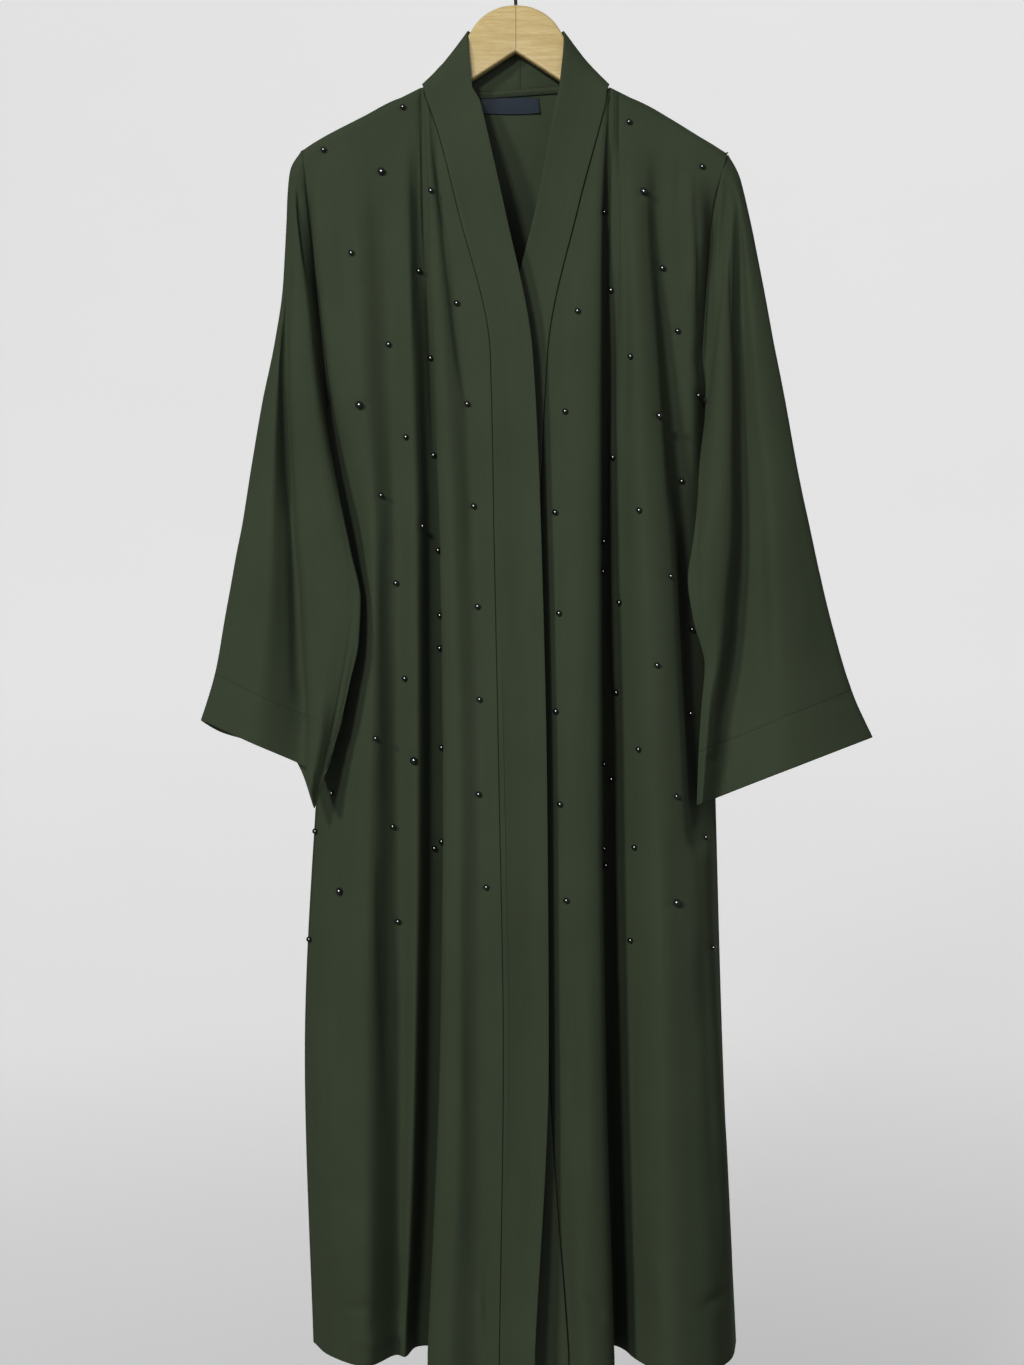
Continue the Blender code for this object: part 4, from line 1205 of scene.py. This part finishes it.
def sew_beads(name, cloth, rows):
    """All the beads of one front as one mesh, each sunk a little into the cloth."""
    surface = surface_of(cloth)
    bm = bmesh.new()
    sewn = 0
    for x, drop, across in rows:
        place, normal = meet(surface, x, drop)
        if place is None:
            print("no cloth behind the bead at", x, drop)
            continue
        turn = Vector((0, 0, 1)).rotation_difference(normal).to_matrix().to_4x4()
        size = across / 1000.0
        centre = place + normal * size * BEAD_STAND
        bmesh.ops.create_uvsphere(bm, u_segments=16, v_segments=10, radius=size / 2,
                                  matrix=Matrix.Translation(centre) @ turn
                                  @ Matrix.Diagonal((1.0, 1.0, BEAD_FLAT, 1.0)))
        sewn += 1
    beads = hand_over(name, bm)
    beads.data.materials.append(jet_glass)
    print(name, sewn, "beads")
    return beads


beads_right = sew_beads("right_front_beads", right_front, BEADS["right"])
beads_left = sew_beads("left_front_beads", left_front, BEADS["left"])

# %% [markdown]
# ## The neck label
# A small woven label hangs from the back neck seam. It is navy satin with no
# lettering, folded in at both ends, and its lower edge sags a little.

# %% Weave and sew the label
LABEL_X = (-34, 23)
LABEL_DROP = (143.5, 159.5)
LABEL_THICK = 0.0007
back_surface = surface_of(back_cloth)
satin = Finish("navy_satin")
weft = satin.node("ShaderNodeTexWave", {"wave_type": "BANDS", "bands_direction": "Y"},
                  {"Vector": satin.cloth_place(), "Scale": 560.0, "Distortion": 0.6}, 1)
navy_satin = satin.close(
    Base_Color=satin.between(weft, (0.009, 0.017, 0.026), (0.019, 0.031, 0.045)),
    Roughness=satin.ramp(weft, (0.0, 0.55), (1.0, 0.42)),
    Normal=satin.bump(weft, 0.00008, 0.6), Specular_IOR_Level=0.2)
label_points = []
for i in range(13):
    row = []
    for j in range(41):
        u, v = j / 40, i / 12
        x = LABEL_X[0] + (LABEL_X[1] - LABEL_X[0]) * u + 2.0 * v * (u - 0.5)
        drop = LABEL_DROP[0] + (LABEL_DROP[1] - LABEL_DROP[0]) * v + 1.2 * sin(pi * u) * v
        place, _ = meet(back_surface, x, drop)
        stand = 0.0009 + 0.0011 * v * v + 0.0010 * ease((u - 0.8) / 0.2) * v
        row.append(place + Vector((0, -stand, 0)))
    label_points.append(row)
label = lay_cloth("neck_label", label_points, None, LABEL_THICK, seed=9.0,
                  wide=0.06, long=0.02, rest=0.0, calm=1)
label.data.materials.append(navy_satin)
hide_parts("label")

# %% [markdown]
# ## The overlocked neck seam
# Inside the back neck the seam allowance is turned down and overlocked: three
# threads loop over its edge. It is a narrow strip of crepe with a row of slanting
# thread loops, each one a short bent tube of four sides.

# %% Overlock the neck seam
STRIP_HALF = 52.0       # half the strip's length, in divisions
STRIP_WIDE = 6.6        # its width, in divisions
STRIP_THICK = 0.0006
THREAD_RADIUS = 0.0004
STITCHES = 62
thread = Finish("olive_thread")
twist = thread.node("ShaderNodeTexWave", {"wave_type": "BANDS", "bands_direction": "DIAGONAL"},
                    {"Vector": thread.object_place(), "Scale": 900.0, "Distortion": 0.5}, 1)
olive_thread = thread.close(
    Base_Color=thread.between(twist, (0.020, 0.027, 0.014), (0.058, 0.074, 0.042)),
    Roughness=thread.ramp(twist, (0.0, 0.7), (1.0, 0.5)))


def thread_tube(bm, path, radius, sides=4):
    """A thin tube along a path: a ring is extruded from point to point."""
    ring = bmesh.ops.create_circle(bm, segments=sides, radius=radius)["verts"]
    for vert in ring:
        vert.co += path[0]
    edges = [edge for edge in bm.edges if all(vert in ring for vert in edge.verts)]
    for step in range(1, len(path)):
        grown = bmesh.ops.extrude_edge_only(bm, edges=edges)["geom"]
        ring = [item for item in grown if isinstance(item, bmesh.types.BMVert)]
        edges = [item for item in grown if isinstance(item, bmesh.types.BMEdge)]
        edges = [edge for edge in edges if all(vert in ring for vert in edge.verts)]
        bmesh.ops.translate(bm, verts=ring, vec=path[step] - path[step - 1])


def inside_neck(x, below, stand):
    """A point on the inside of the back neck, so far below its seam."""
    drop = back_neck_drop(x) + below
    place, _ = meet(back_surface, x, max(drop, back_neck_drop(x) + 1.0))
    return seen(x, drop, -place.y + stand)


strip_points = []
for i in range(6):
    strip_points.append([inside_neck(STRIP_HALF * (j / 40 - 1.0), -2.0 + STRIP_WIDE * i / 5,
                                     0.0012 + 0.0010 * i / 5) for j in range(81)])
strip = lay_cloth("neck_seam_allowance", strip_points, None, STRIP_THICK, seed=10.0,
                  wide=0.1, long=0.006, rest=0.0001, calm=1)
strip.data.materials.append(olive_crepe)

stitch_mesh = bmesh.new()
for k in range(STITCHES):
    x = -50.0 + 100.0 * k / (STITCHES - 1)
    loop = [inside_neck(x + 1.1 * t, 0.9 + 3.6 * t, 0.0022 + 0.0009 * sin(pi * t))
            for t in (0.0, 0.25, 0.5, 0.75, 1.0)]
    thread_tube(stitch_mesh, loop, THREAD_RADIUS)
overlock = hand_over("neck_overlock_thread", stitch_mesh)
overlock.data.materials.append(olive_thread)

# %% [markdown]
# ## The wooden hanger
# A flat hanger is sawn from pale plywood or beech, its edges rounded over and
# lacquered. Two boards meet in the middle, where a fine dark line shows. The
# board starts as a flat grid; its upper and lower rows are moved to the outline,
# the board is extruded to its thickness and its edges bevelled.

# %% Saw the hanger
HANGER_THICK = 0.011
HANGER_BEVEL = 0.0028
# hanger: distance from the middle, top and bottom edge drops (divisions)
HANGER = ((0, 52.0, 98.5), (12, 53.4, 106.3), (24, 57.8, 114.1), (36, 66.3, 121.9),
          (46, 80.0, 128.4), (56, 98.5, 135.0), (70, 121.5, 145.0), (84, 136.0, 156.0),
          (98, 143.0, 165.0), (120, 154.0, 178.0), (150, 169.0, 193.5),
          (180, 185.0, 207.0), (198, 197.0, 214.0), (205, 203.0, 212.0))
wood = Finish("lacquered_pale_wood")
board = wood.object_place()
rings = wood.speckle(board, 1.0, 4.0, 0.6, (18.0, 60.0, 260.0))
fibre = wood.speckle(board, 1.0, 3.0, 0.7, (90.0, 900.0, 1500.0))
figure = wood.ramp(rings, (0.30, 0.0), (0.52, 0.55), (0.72, 1.0))
grain = wood.between(figure, (0.56, 0.40, 0.155), (0.73, 0.575, 0.27))
shade = wood.between(wood.ramp(fibre, (0.38, 1.0), (0.55, 0.0)) * 0.35, grain,
                     (0.40, 0.265, 0.100))
aside = wood.node("ShaderNodeSeparateXYZ", None, {0: board}).math("ABSOLUTE") * 1000.0
shade = wood.between(wood.ramp(aside, (0.35, 0.6), (0.75, 0.0)), shade, (0.20, 0.13, 0.05))
pale_wood = wood.close(Base_Color=shade, Roughness=wood.ramp(fibre, (0.3, 0.38), (0.7, 0.52)),
                       Normal=wood.bump(fibre, 0.00012, 0.35),
                       Coat_Weight=0.25, Coat_Roughness=0.22)


def saw_hanger():
    """The board, cut to its outline and rounded at all its edges."""
    top = track([row[0] for row in HANGER], [row[1] for row in HANGER])
    low = track([row[0] for row in HANGER], [row[2] for row in HANGER])
    reach = HANGER[-1][0]
    bm = bmesh.new()
    bmesh.ops.create_grid(bm, x_segments=136, y_segments=1, size=0.5)
    for vert in bm.verts:
        x = vert.co.x * 2.0 * reach
        drop = top(abs(x)) if vert.co.y > 0.0 else low(abs(x))
        vert.co = (x * GRID, -HANGER_THICK / 2, -drop * GRID)
    grown = bmesh.ops.extrude_face_region(bm, geom=list(bm.faces))
    moved = [item for item in grown["geom"] if isinstance(item, bmesh.types.BMVert)]
    bmesh.ops.translate(bm, verts=moved, vec=(0, HANGER_THICK, 0))
    bmesh.ops.recalc_face_normals(bm, faces=bm.faces)
    rims = [edge for edge in bm.edges if edge.calc_face_angle(0.0) > radians(50)]
    bmesh.ops.bevel(bm, geom=rims, offset=HANGER_BEVEL, offset_type="OFFSET", segments=5,
                    profile=0.5, affect="EDGES", material=-1, clamp_overlap=True)
    return hand_over("wooden_hanger", bm)


hanger = saw_hanger()
hanger.data.materials.append(pale_wood)
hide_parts("hanger")
print("hanger faces:", len(hanger.data.polygons))

# %% [markdown]
# ## The wire hook
# The hook is one piece of darkened wire, screwed into the top of the hanger. A
# circle is swept along the stem and round the bend, and both ends are domed.

# %% Bend the hook
HOOK_WIRE = 0.0035
HOOK_INNER = 0.017
steel = Finish("dark_wire")
drawn = steel.speckle(steel.object_place(), 1.0, 3.0, 0.6, (2600.0, 2600.0, 120.0))
dark_wire = steel.close(
    Base_Color=steel.between(drawn, (0.035, 0.035, 0.038), (0.11, 0.108, 0.105)),
    Metallic=1.0, Roughness=steel.ramp(drawn, (0.3, 0.28), (0.7, 0.46)),
    Normal=steel.bump(drawn, 0.00004, 0.5))


def hook_path():
    """The hook's middle line: stem, round bend and short open end."""
    ring = HOOK_INNER + HOOK_WIRE / 2
    middle = -HOOK_INNER
    stem_foot = -HANGER[0][1] * GRID + SEAM
    points = [Vector((0, 0, stem_foot)), Vector((0, 0, stem_foot + 0.010)),
              Vector((0.0015, 0, middle - ring - 0.002)),
              Vector((0.0105, 0, middle - ring + 0.004))]
    for degrees in range(-35, 201, 20):
        angle = degrees * pi / 180.0
        points.append(Vector((ring * cos(angle), 0, middle + ring * sin(angle))))
    return through(points, 6)


def bend_hook():
    """The wire, swept along its middle line and domed at both ends."""
    path = hook_path()
    bm = bmesh.new()
    sides = 20
    before = None
    for i, point in enumerate(path):
        ahead = path[min(i + 1, len(path) - 1)] - path[max(i - 1, 0)]
        if i == 0:
            ahead = Vector((0, 0, 1))
        turn = Vector((0, 0, 1)).rotation_difference(ahead.normalized()).to_matrix().to_4x4()
        ring = bmesh.ops.create_circle(bm, segments=sides, radius=HOOK_WIRE / 2,
                                       matrix=Matrix.Translation(point) @ turn)["verts"]
        edges = [edge for edge in bm.edges if edge.verts[0] in ring and edge.verts[1] in ring]
        if before:
            bmesh.ops.bridge_loops(bm, edges=before + edges)
        before = edges
    open_ends = [edge for edge in bm.edges if len(edge.link_faces) == 1]
    bmesh.ops.holes_fill(bm, edges=open_ends, sides=sides)
    bmesh.ops.recalc_face_normals(bm, faces=bm.faces)
    ends = [edge for face in bm.faces if len(face.verts) == sides for edge in face.edges]
    bmesh.ops.bevel(bm, geom=ends, offset=0.0009, offset_type="OFFSET", segments=3,
                    profile=0.5, affect="EDGES", material=-1)
    return hand_over("wire_hook", bm)


hook = bend_hook()
hook.data.materials.append(dark_wire)
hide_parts("hook")
print("hook faces:", len(hook.data.polygons))

# %% [markdown]
# ## The cut of the cloth
# The size each sheet of cloth was cut to is measured above, in `cuts`. The folds
# take up width, so the cut is much wider than what shows.


for side, front in (("right", right_front), ("left", left_front)):
    sleeve, hem_band = sleeves[side]
print("sheets declared:", len(cuts) + 3)

# %% [markdown]
# ## A pale floor and soft light
# That glow is painted light in place of lamp light: faint near the middle, brighter far off, and a
# little weaker to the right.
# The garment hangs in a white studio. The floor is a wide shallow dish, whose
# rim rises far away, so that it has no horizon and looks the same all round. It
# throws no light back and no shadow, because a white room that does fills the
# folds, which in the picture are nearly black. Instead it has a faint glow of its
# own, a little weaker to the right.
#
# A narrow sun comes from the left in front, and a lamp high on the left, near
# enough to fade toward the hem, brightens the shoulders. A weak sun from the
# right and one from behind lift the dark sides. Two more lamps give gloss alone:
# a broad one for the cloth, and one that shines on nothing but the beads.

# %% Floor and light
FLOOR_FLAT = 2.0        # radius of the flat middle
FLOOR_STEP = 0.75       # width of each ring round it
FLOOR_RINGS = 24
FLOOR_RISE = 0.052      # how steeply the rings rise
FLOOR_BELOW = 0.55      # how far the floor lies below the hem
MIDDLE = Vector((0.0, 0.0, -0.7))

floor_mesh = bmesh.new()
bmesh.ops.create_circle(floor_mesh, cap_ends=True, segments=96, radius=FLOOR_FLAT)
for step in range(1, FLOOR_RINGS + 1):
    reach = FLOOR_STEP * step
    rim = [edge for edge in floor_mesh.edges if edge.is_boundary]
    grown = bmesh.ops.extrude_edge_only(floor_mesh, edges=rim)["geom"]
    for item in grown:
        if isinstance(item, bmesh.types.BMVert):
            item.co.xy *= (FLOOR_FLAT + reach) / (FLOOR_FLAT + reach - FLOOR_STEP)
            item.co.z = FLOOR_RISE * reach ** 2
bmesh.ops.translate(floor_mesh, verts=floor_mesh.verts, vec=(0, 0, HEM_Z - FLOOR_BELOW))
bmesh.ops.recalc_face_normals(floor_mesh, faces=floor_mesh.faces)
mesh = bpy.data.meshes.new("floor")
floor_mesh.to_mesh(mesh)
floor_mesh.free()
mesh.shade_smooth()
floor = bpy.data.objects.new("floor", mesh)
bpy.context.scene.collection.objects.link(floor)
floor.visible_diffuse = floor.visible_glossy = floor.visible_shadow = False
paint = Finish("pale_floor")
dust = paint.speckle(paint.object_place(), 1.4, 3.0, 0.5)
away = paint.node("ShaderNodeVectorMath", {"operation": "LENGTH"}, {0: paint.object_place()}, 1)
aside = paint.node("ShaderNodeSeparateXYZ", None, {0: paint.object_place()})
# painted light: the floor glows instead of being lit, faintly near the middle, brighter far off, a
# little weaker to the right
painted_floor_light = paint.ramp(away * 0.1, (0.20, 0.05), (0.42, 0.75), (0.70, 1.0)) * (1.0 - aside * 0.018)
floor.data.materials.append(paint.close(
    Base_Color=paint.between(dust, (0.80, 0.80, 0.795), (0.83, 0.83, 0.825)), Roughness=0.9,
    Specular_IOR_Level=0.1, Emission_Color=painted_floor_light, Emission_Strength=0.365))


def light(name, kind, place, power, size, glossy=False, only=()):
    """A sun, its size in degrees, or a round lamp, in metres, aimed at the middle.

    A glossy one gives gloss alone, and the others none; only names what it lights.
    """
    data = bpy.data.lights.new(name, kind)
    data.energy = power
    if kind == "SUN":
        data.angle = radians(size)
    else:
        data.shape = "DISK"
        data.size = size
    item = bpy.data.objects.new(name, data)
    item.location = place
    aim = MIDDLE - Vector(place)
    item.rotation_euler = aim.to_track_quat("-Z", "Y").to_euler()
    item.visible_glossy = glossy
    item.visible_diffuse = not glossy
    bpy.context.scene.collection.objects.link(item)
    if only:
        item.light_linking.receiver_collection = bpy.data.collections.new(name + "_on")
        for piece in only:
            item.light_linking.receiver_collection.objects.link(piece)


light("key", "SUN", (-2.9, -3.1, 1.0), 1.33, 8.0)
light("lamp", "AREA", (-0.95, -2.3, 0.5), 31.0, 0.4)
light("fill", "SUN", (3.0, -3.0, 0.2), 0.26, 40.0)
light("behind", "SUN", (1.5, 3.4, 1.2), 1.6, 40.0)
light("sheen", "AREA", (-0.2, -2.3, -0.45), 36.0, 1.2, True)
light("glint", "AREA", (-0.5, -2.3, -0.2), 52.0, 1.4, True, (beads_right, beads_left))

sky = bpy.data.worlds.new("sky")
sky.use_nodes = True
sky.node_tree.nodes["Background"].inputs["Color"].default_value = (0.93, 0.935, 0.94, 1.0)
sky.node_tree.nodes["Background"].inputs["Strength"].default_value = 0.14
bpy.context.scene.world = sky
bpy.context.scene.view_settings.view_transform = "Standard"
